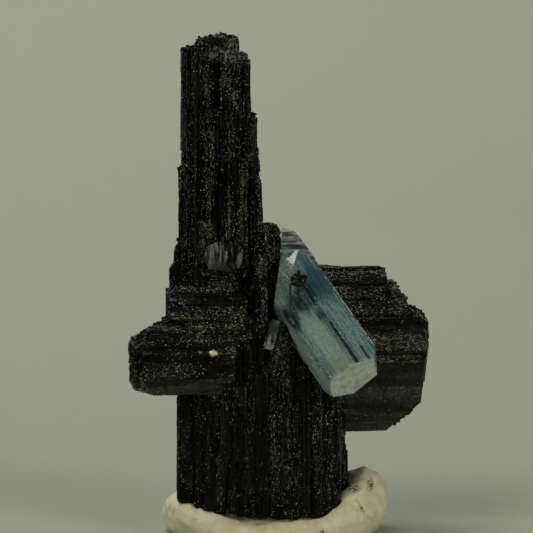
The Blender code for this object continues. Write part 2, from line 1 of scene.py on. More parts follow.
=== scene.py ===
# %% [markdown]
# # An aquamarine on black tourmaline
# This lesson dresses a small mineral specimen: a pale blue beryl prism that grew on a cluster of
# black, fluted tourmaline (schorl), standing in a roll of mounting putty. The solids come from
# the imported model. Here they get what the eye reads as "mineral": fine ribs, broken ends,
# glittering grains, a clear crystal with mist and needles inside it, and kneaded putty.

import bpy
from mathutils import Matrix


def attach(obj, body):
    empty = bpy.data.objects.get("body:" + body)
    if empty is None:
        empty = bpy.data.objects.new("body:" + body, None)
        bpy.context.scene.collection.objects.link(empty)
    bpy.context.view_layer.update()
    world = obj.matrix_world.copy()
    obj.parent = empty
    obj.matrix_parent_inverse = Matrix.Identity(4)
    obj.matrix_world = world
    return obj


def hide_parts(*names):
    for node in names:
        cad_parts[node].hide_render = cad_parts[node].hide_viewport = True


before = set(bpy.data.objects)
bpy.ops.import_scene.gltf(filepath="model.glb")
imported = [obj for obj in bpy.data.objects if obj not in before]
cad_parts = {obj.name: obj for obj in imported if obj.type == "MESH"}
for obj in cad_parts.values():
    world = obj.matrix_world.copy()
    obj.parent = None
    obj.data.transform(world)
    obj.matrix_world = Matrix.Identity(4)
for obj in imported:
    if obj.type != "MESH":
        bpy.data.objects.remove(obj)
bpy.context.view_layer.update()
print("solids:", sorted(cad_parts))

# %% [markdown]
# ## Measures
# The specimen is about 52 mm tall, so everything below is thought of in millimetres and made
# metres by one factor. Each crystal has axes of its own, with z along its prism, which is how a
# mineralogist would describe it.

# %% Measures and crystal axes
import math
import random

import bmesh
import bpy
from mathutils import Matrix, Vector, noise
from mathutils.bvhtree import BVHTree

MM = 0.001
UP = Vector((0, 0, 1))
LEFT_ALONG = Vector((-1.0, -0.12, 0.0)).normalized()
MIDDLE_ALONG = Vector((-1.0, -0.05, 0.02)).normalized()
RIGHT_ALONG = Vector((1.0, 0.03, 0.012)).normalized()
BERYL_END = Vector((9.6, -9.2, 17.6))
BERYL_ALONG = Vector((0.520, -0.504, -0.690))
BERYL_CORNER = 3.58


def crystal_frame(origin, along, up=(0, 0, 1)):
    """A crystal's own axes: z along it, y leaning to up, x across."""
    z = Vector(along).normalized()
    y = (Vector(up) - z * Vector(up).dot(z)).normalized()
    axes = Matrix((y.cross(z), y, z)).transposed().to_4x4()
    axes.translation = Vector(origin)
    return axes


BERYL_FRAME = crystal_frame(BERYL_END, BERYL_ALONG, up=(0.0, -1.0, 0.1))
BERYL_TURN = BERYL_FRAME.to_3x3()
INTO_BERYL = BERYL_FRAME.inverted()
print("beryl's long axis:", [round(v, 3) for v in BERYL_TURN.col[2]])

# %% [markdown]
# ## Camera
# The picture was taken from the front, a little above the middle of the stone, with a long lens,
# so the sides of the tall column stay parallel.

# %% Camera
AIM = Vector((0.47, 0.0, 27.8))
ELEVATION = math.radians(6.5)
DISTANCE = 400.0
FOCAL_PIXELS, PICTURE_WIDTH = 3846.0, 533.0

lens = bpy.data.cameras.new("long_lens")
lens.sensor_width = 36.0
lens.lens = lens.sensor_width * FOCAL_PIXELS / PICTURE_WIDTH
lens.clip_start = 0.01
camera = bpy.data.objects.new("camera", lens)
back = Vector((0.0, -math.cos(ELEVATION), math.sin(ELEVATION)))
camera.location = (AIM + back * DISTANCE) * MM
camera.rotation_euler = back.to_track_quat("Z", "Y").to_euler()
bpy.context.scene.collection.objects.link(camera)
bpy.context.scene.camera = camera
print("camera", [round(v, 4) for v in camera.location], "lens", round(lens.lens, 1), "mm")

# %% [markdown]
# ## Small helpers for meshes and nodes
# `mesh_piece` turns a bmesh that was worked out in millimetres into an object at the origin.
# `shade` adds one node and fills its inputs, either with a value or with another node's output,
# so that a material reads from top to bottom like a recipe.

# %% Mesh and node helpers
def linked(name, mesh):
    piece = bpy.data.objects.new(name, mesh)
    bpy.context.scene.collection.objects.link(piece)
    return piece


def mesh_piece(name, bm, *finishes, smooth=False):
    bm.transform(Matrix.Scale(MM, 4))
    mesh = bpy.data.meshes.new(name)
    bm.to_mesh(mesh)
    bm.free()
    for finish in finishes:
        mesh.materials.append(finish)
    if smooth:
        mesh.shade_smooth()
    return linked(name, mesh)


def mount(piece, slot, *nodes):
    """Rides a finished piece on the specimen, in place of the solids named."""
    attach(piece, "root")
    if nodes:
        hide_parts(*nodes)
    print(piece.name, len(piece.data.polygons), "faces")
    return piece


def put(tree, value, socket):
    if isinstance(value, bpy.types.NodeSocket):
        tree.links.new(value, socket)
    else:
        socket.default_value = value


def shade(tree, kind, inputs=(), **settings):
    node = tree.nodes.new(kind)
    for key, value in settings.items():
        setattr(node, key, value)
    for name, value in dict(inputs).items():
        put(tree, value, node.inputs[name])
    return node


def new_finish(name):
    finish = bpy.data.materials.new(name)
    finish.use_nodes = True
    return finish, finish.node_tree, finish.node_tree.nodes["Principled BSDF"]


# %% Pattern helpers
def placed(tree, scale=(1, 1, 1), own=None):
    """Object coordinates in millimetres, stretched, or in a crystal's own axes."""
    spot = shade(tree, "ShaderNodeTexCoord").outputs["Object"]
    if own is None:
        return shade(tree, "ShaderNodeMapping", {"Vector": spot, "Scale": [s / MM for s in scale]}).outputs[0]
    turned = shade(tree, "ShaderNodeMapping", {
        "Vector": spot, "Location": own.translation * MM, "Rotation": own.to_euler(), "Scale": (MM, MM, MM),
    }, vector_type="TEXTURE").outputs[0]
    return shade(tree, "ShaderNodeMapping", {"Vector": turned, "Scale": scale}).outputs[0]


def grain(tree, where, scale, detail=4.0, rough=0.55, distort=0.0):
    return shade(tree, "ShaderNodeTexNoise", {
        "Vector": where, "Scale": scale, "Detail": detail, "Roughness": rough, "Distortion": distort,
    }).outputs["Fac"]


def span(tree, value, low, high, to_low=0.0, to_high=1.0):
    return shade(tree, "ShaderNodeMapRange", {
        "Value": value, "From Min": low, "From Max": high, "To Min": to_low, "To Max": to_high,
    }, interpolation_type="SMOOTHSTEP").outputs[0]


def maths(tree, operation, a, b=0.0):
    node = tree.nodes.new("ShaderNodeMath")
    node.operation = operation
    put(tree, a, node.inputs[0])
    put(tree, b, node.inputs[1])
    return node.outputs[0]


def times(tree, a, b):
    return maths(tree, "MULTIPLY", a, b)


def larger(tree, a, b):
    return maths(tree, "MAXIMUM", a, b)


def vectors(tree, operation, a, b=(0, 0, 0)):
    return shade(tree, "ShaderNodeVectorMath", {0: a, 1: b}, operation=operation).outputs


def blend_colour(tree, amount, a, b):
    node = tree.nodes.new("ShaderNodeMix")
    node.data_type = "RGBA"
    for value, socket in ((amount, node.inputs[0]), (a, node.inputs[6]), (b, node.inputs[7])):
        put(tree, (*value, 1.0) if isinstance(value, tuple) else value, socket)
    return node.outputs[2]


def blend_value(tree, amount, a, b):
    node = tree.nodes.new("ShaderNodeMix")
    for value, socket in ((amount, node.inputs[0]), (a, node.inputs[2]), (b, node.inputs[3])):
        put(tree, value, socket)
    return node.outputs[0]


def toned(tree, colour, tone):
    """A colour made darker or lighter by a factor."""
    mix = shade(tree, "ShaderNodeMix", {0: 1.0, 6: colour, 7: tone}, data_type="RGBA", blend_type="MULTIPLY")
    return mix.outputs[2]


def with_grain(tree, across, along):
    """Object coordinates stretched along the black prisms, whether they stand or lie."""
    node = tree.nodes.new("ShaderNodeMix")
    node.data_type = "VECTOR"
    lying = shade(tree, "ShaderNodeAttribute", attribute_name="lying").outputs["Fac"]
    put(tree, lying, node.inputs[0])
    put(tree, placed(tree, (across, across, along)), node.inputs[4])
    put(tree, placed(tree, (along, across, across)), node.inputs[5])
    return node.outputs[1]


def pool(tree, spot, heart, reach):
    """One at a place, fading to nothing at its reach in each direction."""
    away = vectors(tree, "DIVIDE", vectors(tree, "SUBTRACT", spot, heart)[0], reach)[0]
    return span(tree, vectors(tree, "LENGTH", away)["Value"], 1.0, 0.35)


def bumped(tree, height, distance, strength=1.0, under=None):
    inputs = {"Height": height, "Distance": distance * MM, "Strength": strength}
    if under is not None:
        inputs["Normal"] = under
    return shade(tree, "ShaderNodeBump", inputs).outputs[0]


def zone(tree, spot, low, high, soft):
    """One inside a box of the specimen, in millimetres, falling to nothing over its soft rim."""
    parts = shade(tree, "ShaderNodeSeparateXYZ", {"Vector": spot}).outputs
    inside = 1.0
    for part, least, most in zip(parts, low, high):
        rise = span(tree, part, (least - soft) * MM, least * MM)
        fall = span(tree, part, (most + soft) * MM, most * MM)
        inside = times(tree, inside, times(tree, rise, fall))
    return inside


DARK_WINDOW = ((-3.8, -12, 6.0), (0.2, 0, 11.0), 0.7)


def smooth_faces(tree, spot):
    """The black crystals' few satin faces: low on the left crystal, and low on the right one."""
    left = zone(tree, spot, (-12.4, -9.0, 15.2), (-4.2, -3.5, 16.9), 0.2)
    right = zone(tree, spot, (8.9, -6.0, 9.0), (18.0, 1.0, 17.6), 0.3)
    return larger(tree, left, right)


print("helpers ready")

# %% [markdown]
# ## The black tourmaline's finish
# Schorl is black and glassy, with grooves that always run along the prism. Some crystals stand
# and some lie, so the mesh carries an attribute, `lying`, which turns the grooves. The grooves
# are noise squeezed hard across the crystal and stretched along it. Much of this schorl is dusted
# with specks of gold and pale mineral: a Voronoi pattern gives each speck its own cell, and the
# cell's random colour decides whether there is one and what it is made of.

# %% Schorl finish
SCHORL_INDEX = 1.65
QUIET = [
    ((-12, -12, -1), (7.6, 12, 18.5), 1.2, 1.0),
    ((-12, -12, 30), (-6.6, 12, 53), 0.5, 1.0),
    ((-15, -12, 13), (-4, 12, 21.4), 0.8, 0.7),
]


def schorl_finish(name, dust=1.0, dull=0.0, painted_sheen=0.35):
    finish, tree, shader = new_finish(name)
    spot = shade(tree, "ShaderNodeTexCoord").outputs["Object"]
    lying = shade(tree, "ShaderNodeAttribute", attribute_name="lying").outputs["Fac"]
    satin = smooth_faces(tree, spot)
    # Painted light: a pale patch on the broken ledge at the tower's top, as if it caught the lamp.
    painted_lit_ledge = pool(tree, spot, Vector((-3.5, -3.0, 50.3)) * MM, Vector((3.2, 7.0, 1.3)) * MM)
    quiet = 0.0
    for low, high, soft, share in QUIET:
        quiet = larger(tree, quiet, times(tree, zone(tree, spot, low, high, soft), share))
    foot = zone(tree, spot, (-7.5, -12, -1), (7.5, 0, 4.4), 0.9)
    bare = larger(tree, zone(tree, spot, *DARK_WINDOW), foot)
    fine = grain(tree, with_grain(tree, 8.0, 0.5), 1.0, 2.0)
    broad = grain(tree, with_grain(tree, 2.4, 0.3), 1.0, 3.0)
    belt = grain(tree, with_grain(tree, 0.8, 0.09), 1.0, 3.0)
    patch = grain(tree, placed(tree), 0.55, 5.0, 0.62)

    cells = shade(tree, "ShaderNodeTexVoronoi", {"Vector": with_grain(tree, 1.0, 0.62), "Scale": 9.5})
    pick = shade(tree, "ShaderNodeSeparateColor", {"Color": cells.outputs["Color"]}).outputs
    where = span(tree, patch, 0.36, 0.60, 0.35, 1.0)
    for pattern, low, least in ((belt, 0.44, 0.05), (broad, 0.34, 0.25)):
        where = times(tree, where, span(tree, pattern, low, 0.58, least, 1.0))
    clean = maths(tree, "SUBTRACT", dust, times(tree, satin, 0.85 * dust))
    clean = maths(tree, "SUBTRACT", clean, times(tree, quiet, 0.30 * dust))
    clean = times(tree, clean, maths(tree, "SUBTRACT", 1.0, times(tree, bare, 0.8)))
    chosen = maths(tree, "LESS_THAN", pick[0], times(tree, where, clean))
    reach = maths(tree, "ADD", times(tree, pick[2], 0.36), span(tree, fine, 0.3, 0.7, 0.02, 0.30))
    rim = maths(tree, "SUBTRACT", reach, cells.outputs["Distance"])
    speck = times(tree, chosen, span(tree, rim, -0.06, 0.08))

    dark = (0.0003, 0.0004, 0.0003)
    dark = blend_colour(tree, span(tree, broad, 0.35, 0.68), dark, (0.0042, 0.0047, 0.0036))
    # Painted highlights: thin lighter lines along the flutes.
    dark = blend_colour(tree, span(tree, fine, 0.54, 0.68, 0.0, 0.8), dark, (0.0150, 0.0165, 0.0120))
    brown = span(tree, patch, 0.50, 0.70, 0.0, 0.7)
    dark = blend_colour(tree, brown, dark, (0.0105, 0.0105, 0.0062))
    # Painted sheen: the lying crystals get a lighter base colour, standing in for light from above on their
    # tops.
    dark = blend_colour(tree, times(tree, lying, painted_sheen), dark, (0.018, 0.0195, 0.0145))
    # The satin faces are smoother and bare of specks; their lighter grey colour is a painted sheen.
    painted_sheen_grey = blend_colour(tree, patch, (0.017, 0.0185, 0.0150), (0.036, 0.0385, 0.0310))
    dark = blend_colour(tree, satin, dark, painted_sheen_grey)
    # Painted light: the upper part of the right crystal is made lighter grey, as if lit.
    painted_lit_face = zone(tree, spot, (7.0, -7, 16.6), (18, 1, 21.8), 0.6)
    painted_lit_face = times(tree, painted_lit_face, span(tree, broad, 0.36, 0.60, 0.25, 0.75))
    dark = blend_colour(tree, painted_lit_face, dark, (0.026, 0.0285, 0.0220))
    crumbs = grain(tree, placed(tree), 2.6, 3.0, 0.6)
    for pattern, low, most in ((crumbs, 0.34, 1.25), (belt, 0.38, 1.45)):
        dark = toned(tree, dark, span(tree, pattern, low, 0.62, 0.45, most))
    # The painted lit ledge, broken up by the crumbs, goes over the base colour.
    painted_lit_ledge = times(tree, painted_lit_ledge, span(tree, crumbs, 0.46, 0.60, 0.05, 1.0))
    dark = blend_colour(tree, painted_lit_ledge, dark, (0.24, 0.26, 0.22))
    glitter = blend_colour(tree, pick[1], (0.12, 0.114, 0.062), (0.44, 0.42, 0.270))
    glitter = blend_colour(tree, times(tree, quiet, 0.5), glitter, (0.085, 0.080, 0.048))
    tree.links.new(blend_colour(tree, speck, dark, glitter), shader.inputs["Base Color"])
    tree.links.new(span(tree, patch, 0.3, 0.75, 0.22 + dull, 0.46 + dull), shader.inputs["Roughness"])
    shader.inputs["IOR"].default_value = SCHORL_INDEX
    shader.inputs["Specular IOR Level"].default_value = 0.10
    ridges = bumped(tree, broad, 0.09, 0.9)
    lines = bumped(tree, fine, 0.03, 0.9, ridges)
    tree.links.new(bumped(tree, speck, 0.04, 0.8, lines), shader.inputs["Normal"])
    return finish


SCHORL = schorl_finish("schorl")
BROKEN = schorl_finish("broken_schorl", 0.85, 0.2, 0.08)
print("schorl finish:", len(SCHORL.node_tree.nodes), "nodes")

# %% [markdown]
# ## Reading the black crystals
# The solid in the model is loose triangles. A merged copy, with its flat triangles joined back
# into whole faces, can be read like a real crystal: a long face that runs along an axis is a
# prism side, and a small one across it is a broken end.

# %% Merge the schorl and find each face's grain
def merged(node, flatten=0.6):
    bm = bmesh.new()
    bm.from_mesh(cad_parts[node].data)
    bm.transform(Matrix.Scale(1 / MM, 4))
    bmesh.ops.remove_doubles(bm, verts=bm.verts[:], dist=0.0008)
    bmesh.ops.dissolve_degenerate(bm, dist=0.0005, edges=bm.edges[:])
    bmesh.ops.dissolve_limit(bm, angle_limit=math.radians(flatten), verts=bm.verts[:], edges=bm.edges[:])
    bm.normal_update()
    return bm


def grain_of(face):
    """The crystal axis that a face follows, and whether the face is a side or an end."""
    corners = [v.co for v in face.verts]
    place = face.calc_center_median()
    lying = RIGHT_ALONG if place.x > 0 else (LEFT_ALONG if place.z < 23.2 else MIDDLE_ALONG)
    reach = {}
    for name, axis in (("up", UP), ("lying", lying)):
        spread = [c.dot(axis) for c in corners]
        reach[name] = (max(spread) - min(spread)) if abs(face.normal.dot(axis)) < 0.3 else 0.0
    if reach["up"] < 0.7 and reach["lying"] < 1.3:
        upward = abs(face.normal.z) > abs(face.normal.dot(lying))
        return (UP if upward else lying), False
    return (UP, True) if reach["up"] >= reach["lying"] else (lying, True)


def is_satin(place, normal):
    left = -12.6 < place.x < -4.2 and 15.1 < place.z < 17.0 and place.y < -3.5
    right = place.x > 8.6 and place.z < 17.8 and place.y < 1.0 and normal.y < -0.2
    return left or right


schorl_mesh = merged("schorl_cluster")
print("schorl faces:", len(schorl_mesh.faces))

# %% [markdown]
# ## Seeds for the ribs, slabs and broken ends
# Each rib is a long, low prism half sunk in a crystal's side. Its length is cut to the face that
# it lies on, by walking a line along the grain and keeping what falls inside the face. Slabs are
# wider and flatter, and carry ribs of their own. Broken ends get a crowd of short stubs instead.
# All that is stored here is a point for each, with its two directions and its size; the shapes
# themselves come from one node tree.

# %% Seed lists
rng = random.Random(5)
NAMES = ("spot", "along", "out", "size", "lying")
seeds = {kind: {name: [] for name in NAMES} for kind in ("tower", "trunk", "side", "slab", "end")}


def plant(kind, spot, along, out, size, lying):
    for name, value in zip(NAMES, (spot * MM, along, out, Vector(size) * MM, lying)):
        seeds[kind][name].append(value)


def runs_inside(points, across):
    """Where the line at this distance across the face is inside it, as start and end along it."""
    cuts = []
    for (s0, t0), (s1, t1) in zip(points, points[1:] + points[:1]):
        if (t0 - across) * (t1 - across) < 0:
            cuts.append(s0 + (s1 - s0) * (across - t0) / (t1 - t0))
    cuts.sort()
    return list(zip(cuts[::2], cuts[1::2]))


def fits(points, start, end, across, wide):
    rims = [runs_inside(points, across + side * wide / 2) for side in (-1, 1)]
    return all(any(a < start and end < b for a, b in runs) for runs in rims)


print("kinds of seed:", ", ".join(seeds))


# %% Seed the sides
def seed_slabs(points, span_along, span_across, area):
    slabs = []
    for _ in range(int(area * 0.5)):
        wide = rng.uniform(0.35, 0.9)
        long = rng.uniform(0.8, 4.5)
        across = rng.uniform(*span_across)
        start = rng.uniform(*span_along)
        if fits(points, start, start + long, across, wide):
            slabs.append((start, start + long, across, wide, rng.uniform(0.06, 0.2)))
    return slabs


def seed_side(face, axis):
    n = face.normal.copy()
    g = (axis - n * axis.dot(n)).normalized()
    side = n.cross(g)
    points = [(v.co.dot(g), v.co.dot(side)) for v in face.verts]
    lift = face.verts[0].co.dot(n)
    low, high = min(t for _, t in points), max(t for _, t in points)
    near, far = min(s for s, _ in points), max(s for s, _ in points)
    flat = 0.0 if axis is UP else 1.0
    centre = face.calc_center_median()
    kind = "side" if flat else ("tower" if centre.z > 23 else "trunk")
    slabs = [] if is_satin(centre, n) else seed_slabs(points, (near, far), (low, high), face.calc_area())
    for start, end, across, wide, rise in slabs:
        spot = g * (start + end) / 2 + side * across + n * lift
        plant("slab", spot, g, n, (2 * rise, wide, end - start), flat)
    across = low + 0.04
    while across < high - 0.03:
        wide = min(rng.choice((0.13, 0.16, 0.2, 0.26, 0.36)) * rng.uniform(0.8, 1.2), (high - low) * 0.7)
        middle = min(across + wide / 2, high - 0.02)
        across += wide * rng.uniform(0.7, 1.5)
        for start, end in runs_inside(points, middle):
            at = start + rng.uniform(0.02, 0.4)
            while at < end - 0.25:
                long = min(rng.uniform(0.3, 2.4) * rng.choice((1, 1, 2)), end - at - rng.uniform(0.02, 0.15))
                spot = g * (at + long / 2) + side * middle + n * lift
                rise = wide * rng.uniform(0.35, 0.8)
                if is_satin(spot, n):
                    rise *= 0.25 if rng.random() < 0.3 else 0.0
                for a, b, t, w, up in slabs:
                    if a < at and at + long < b and abs(t - middle) < w / 2:
                        spot = spot + n * up
                        break
                if long > 0.2 and rise:
                    plant(kind, spot, g, n, (2 * rise, wide, long), flat)
                at += max(long, 0.1) + rng.choice((0.02, 0.06, 0.3, 0.9)) * rng.uniform(0.6, 1.4)


# %% Seed the broken ends
SUNK = 0.15


def seed_end(face, axis):
    n = face.normal.copy()
    g = axis if axis.dot(n) > 0 else -axis
    flat = 0.0 if axis is UP else 1.0
    corners = [v.co for v in face.verts]
    centre = face.calc_center_median()
    for _ in range(int(face.calc_area() * 2.6) + 1):
        a, b = rng.sample(corners, 2)
        spot = centre.lerp(a.lerp(b, rng.random()), rng.random() ** 0.5 * 0.8)
        wide = rng.uniform(0.25, 0.62)
        rise = rng.uniform(0.04, 0.32)
        lean = (g + Vector([rng.uniform(-0.22, 0.22) for _ in range(3)])).normalized()
        out = Matrix.Rotation(rng.uniform(0, math.tau), 3, lean) @ lean.orthogonal()
        size = (wide, wide * rng.uniform(0.6, 1.0), rise + 2 * SUNK)
        plant("end", spot + g * (rise / 2 - SUNK), lean, out.normalized(), size, flat)


for face in schorl_mesh.faces:
    axis, is_side = grain_of(face)
    if is_side and face.calc_area() > 0.1:
        seed_side(face, axis)
    elif not is_side and face.calc_area() > 0.05:
        seed_end(face, axis)
print("seeds:", {kind: len(lists["spot"]) for kind, lists in seeds.items()})

# %% [markdown]
# ## Geometry Nodes: one tree for every rib, slab and stub
# A slightly tapered prism is placed on each seed, turned by its two stored directions and scaled
# by its stored size. Realize Instances makes it plain mesh and Set Material dresses it. A tree
# is the right tool because one small shape repeats thousands of times.

# %% Node tree helpers
def new_tree(name, wanted):
    tree = bpy.data.node_groups.new(name, "GeometryNodeTree")
    tree.interface.new_socket("Geometry", in_out="INPUT", socket_type="NodeSocketGeometry")
    for label, kind, value in wanted:
        socket = tree.interface.new_socket(label, in_out="INPUT", socket_type=kind)
        if value is not None:
            socket.default_value = value
    tree.interface.new_socket("Geometry", in_out="OUTPUT", socket_type="NodeSocketGeometry")
    return tree, tree.nodes.new("NodeGroupInput").outputs, tree.nodes.new("NodeGroupOutput")


def stored(tree, name, kind):
    return shade(tree, "GeometryNodeInputNamedAttribute", {"Name": name}, data_type=kind).outputs[0]


def finish_tree(tree, instances, finish, result):
    whole = shade(tree, "GeometryNodeRealizeInstances", {"Geometry": instances})
    dressed = shade(tree, "GeometryNodeSetMaterial", {"Geometry": whole.outputs[0], "Material": finish})
    tree.links.new(dressed.outputs[0], result.inputs[0])
    return tree


def grown(host, name, tree, **values):
    """Runs a tree on a host object and returns what it makes as a plain mesh object."""
    modifier = host.modifiers.new(name, "NODES")
    modifier.node_group = tree
    for item in tree.interface.items_tree:
        if item.in_out == "INPUT" and item.name in values:
            modifier[item.identifier] = values[item.name]
    graph = bpy.context.evaluated_depsgraph_get()
    mesh = bpy.data.meshes.new_from_object(host.evaluated_get(graph))
    host.modifiers.remove(modifier)
    mesh.name = name
    mesh.materials.clear()
    mesh.materials.append(values["Finish"])
    return linked(name, mesh)


# %% Prism tree
def prism_tree():
    tree, given, result = new_tree("prisms", [
        ("Sides", "NodeSocketInt", 5), ("Taper", "NodeSocketFloat", 0.8),
        ("Turn", "NodeSocketFloat", 0.0), ("Finish", "NodeSocketMaterial", None),
    ])
    prism = shade(tree, "GeometryNodeMeshCone", {
        "Vertices": given["Sides"], "Radius Top": times(tree, given["Taper"], 0.5),
        "Radius Bottom": 0.5, "Depth": 1.0,
    })
    spin = shade(tree, "ShaderNodeCombineXYZ", {"Z": given["Turn"]})
    centred = shade(tree, "GeometryNodeTransform", {
        "Geometry": prism.outputs["Mesh"], "Translation": (0, 0, -0.5), "Rotation": spin.outputs[0],
    })
    turn = shade(tree, "FunctionNodeAxesToRotation", {
        "Primary Axis": stored(tree, "along", "FLOAT_VECTOR"),
        "Secondary Axis": stored(tree, "out", "FLOAT_VECTOR"),
    }, primary_axis="Z", secondary_axis="X")
    spread = shade(tree, "GeometryNodeInstanceOnPoints", {
        "Points": given["Geometry"], "Instance": centred.outputs[0],
        "Rotation": turn.outputs[0], "Scale": stored(tree, "size", "FLOAT_VECTOR"),
    })
    return finish_tree(tree, spread.outputs[0], given["Finish"], result)


def seed_cloud(lists):
    mesh = bpy.data.meshes.new("seeds")
    mesh.from_pydata(lists["spot"], [], [])
    for name in ("along", "out", "size"):
        layer = mesh.attributes.new(name, "FLOAT_VECTOR", "POINT")
        layer.data.foreach_set("vector", [c for value in lists[name] for c in value])
    mesh.attributes.new("lying", "FLOAT", "POINT").data.foreach_set("value", lists["lying"])
    return linked("seeds", mesh)


def prisms(name, lists, sides, finish, taper=0.8, turn=0.0):
    cloud = seed_cloud(lists)
    piece = grown(cloud, name, prisms_tree, Sides=sides, Taper=taper, Turn=turn, Finish=finish)
    bpy.data.objects.remove(cloud)
    return piece


prisms_tree = prism_tree()
ribs = [
    prisms("tower_ribs", seeds["tower"], 5, SCHORL),
    prisms("trunk_ribs", seeds["trunk"], 5, SCHORL),
    prisms("side_crystal_ribs", seeds["side"], 5, SCHORL),
    prisms("broken_slabs", seeds["slab"], 8, SCHORL, 0.9, math.pi / 8),
    prisms("broken_ends", seeds["end"], 6, BROKEN, 0.75),
]
for piece in ribs:
    mount(piece, "schorl")

# %% [markdown]
# ## The black crystals themselves
# The merged solid stays as the body of the cluster, with `lying` stored on its faces so that it
# shares the ribs' finish.

# %% Body of the schorl
def schorl_body():
    lying = schorl_mesh.faces.layers.float.new("lying")
    for face in schorl_mesh.faces:
        face[lying] = 0.0 if grain_of(face)[0] is UP else 1.0
    return mesh_piece("schorl_crystals", schorl_mesh, SCHORL)


crystals = mount(schorl_body(), "schorl", "schorl_cluster")

# %% [markdown]
# ## Glittering grains
# The larger specks are real grains that stand proud of the surface and catch the light. A second
# tree scatters points, keeps those that fall in bands of stretched noise and face outwards, and
# puts an eight-sided grain on each.

# %% Grain finishes
def grain_finish(name, low, high, roughness, metallic):
    finish, tree, shader = new_finish(name)
    mottle = grain(tree, placed(tree), 4.0, 2.0)
    tree.links.new(blend_colour(tree, span(tree, mottle, 0.4, 0.62), low, high), shader.inputs["Base Color"])
    tree.links.new(span(tree, mottle, 0.3, 0.7, roughness, roughness + 0.2), shader.inputs["Roughness"])
    tree.links.new(bumped(tree, mottle, 0.02, 0.6), shader.inputs["Normal"])
    shader.inputs["Metallic"].default_value = metallic
    shader.inputs["Specular IOR Level"].default_value = 0.14
    return finish


GOLD = grain_finish("gold_grain", (0.34, 0.32, 0.19), (1.0, 0.97, 0.70), 0.24, 0.2)
PALE = grain_finish("pale_grain", (0.58, 0.58, 0.44), (1.0, 1.0, 0.86), 0.35, 0.0)
RUST = grain_finish("rust_grain", (0.10, 0.055, 0.025), (0.30, 0.19, 0.08), 0.4, 0.0)
MIST = grain_finish("mist", (0.44, 0.62, 0.56), (0.66, 0.80, 0.72), 0.5, 0.0)
print("grain finishes:", GOLD.name, PALE.name, RUST.name, MIST.name)


# %% Grain tree
def kept_points(tree, given, spots):
    """Thins the points by stretched noise, by the satin faces and by which way they face."""
    where = shade(tree, "GeometryNodeInputPosition").outputs[0]

    def bands(scale):
        return grain(tree, vectors(tree, "MULTIPLY", where, scale)[0], 1.0, 2.0, 0.5)

    band = blend_value(tree, stored(tree, "lying", "FLOAT"), bands((800, 800, 130)), bands((130, 800, 800)))
    thick = span(tree, band, 0.44, 0.58, 0.03, 1.0)
    bare = larger(tree, smooth_faces(tree, where), zone(tree, where, *DARK_WINDOW))
    clean = maths(tree, "SUBTRACT", 1.0, times(tree, bare, 0.92))
    out = stored(tree, "out", "FLOAT_VECTOR")
    outward = vectors(tree, "DOT_PRODUCT", spots.outputs["Normal"], out)["Value"]
    outward = maths(tree, "GREATER_THAN", outward, 0.05)
    facing = larger(tree, outward, maths(tree, "SUBTRACT", 1.0, given["Outward"]))
    chance = shade(tree, "FunctionNodeRandomValue", {"Seed": 9}, data_type="FLOAT").outputs[1]
    keep = times(tree, times(tree, thick, clean), facing)
    thinned = shade(tree, "GeometryNodeDeleteGeometry", {
        "Geometry": spots.outputs["Points"], "Selection": maths(tree, "GREATER_THAN", chance, keep),
    })
    return thinned.outputs[0]


def tumbled(tree, points, seed, size):
    """An eight-sided speck on every point, each turned its own way."""
    speck = shade(tree, "GeometryNodeMeshUVSphere", {"Segments": 4, "Rings": 2, "Radius": MM})
    turn = shade(tree, "FunctionNodeRandomValue", {"Seed": seed}, data_type="FLOAT_VECTOR")
    turn.inputs["Max"].default_value = (6.28, 6.28, 6.28)
    spread = shade(tree, "GeometryNodeInstanceOnPoints", {
        "Points": points, "Instance": speck.outputs["Mesh"], "Rotation": turn.outputs[0], "Scale": size,
    })
    return spread.outputs[0]


def grain_tree():
    tree, given, result = new_tree("grains", [
        ("Density", "NodeSocketFloat", 1.0), ("Outward", "NodeSocketFloat", 1.0),
        ("Smallest", "NodeSocketFloat", 0.03), ("Largest", "NodeSocketFloat", 0.07),
        ("Seed", "NodeSocketInt", 1), ("Finish", "NodeSocketMaterial", None),
    ])
    spots = shade(tree, "GeometryNodeDistributePointsOnFaces", {
        "Mesh": given["Geometry"], "Density": given["Density"], "Seed": given["Seed"],
    })
    points = kept_points(tree, given, spots)
    size = shade(tree, "FunctionNodeRandomValue", {"Seed": 4}, data_type="FLOAT")
    put(tree, given["Smallest"], size.inputs[2])
    put(tree, given["Largest"], size.inputs[3])
    return finish_tree(tree, tumbled(tree, points, 3, size.outputs[1]), given["Finish"], result)


grains = grain_tree()
print("grain tree:", len(grains.nodes), "nodes")


# %% Scatter the grains
def joined(name, pieces, finish):
    """One mesh from several, all in one finish."""
    bm = bmesh.new()
    for piece in pieces:
        bm.from_mesh(piece.data)
    mesh = bpy.data.meshes.new(name)
    bm.to_mesh(mesh)
    bm.free()
    mesh.materials.append(finish)
    for piece in pieces:
        bpy.data.objects.remove(piece)
    return linked(name, mesh)


DUSTED = (0.85, 0.38, 1.1, 1.0, 0.4, 0.45)


def dusting(name, finish, per_mm2, least, most, seed):
    """One kind of grain over the ribs and slabs, the stubs, and the crystals between them."""
    parts = []
    for number, (host, thin) in enumerate(zip(ribs + [crystals], DUSTED)):
        outward = 1.0 if number < 4 else 0.0
        parts.append(grown(
            host, "grains", grains, Density=per_mm2 * thin * 1e6, Outward=outward,
            Smallest=least, Largest=most, Seed=seed + number, Finish=finish,
        ))
    return mount(joined(name, parts, finish), "schorl")


dusting("gold_grains", GOLD, 8.5, 0.022, 0.062, 10)
dusting("pale_grains", PALE, 1.5, 0.024, 0.062, 20)

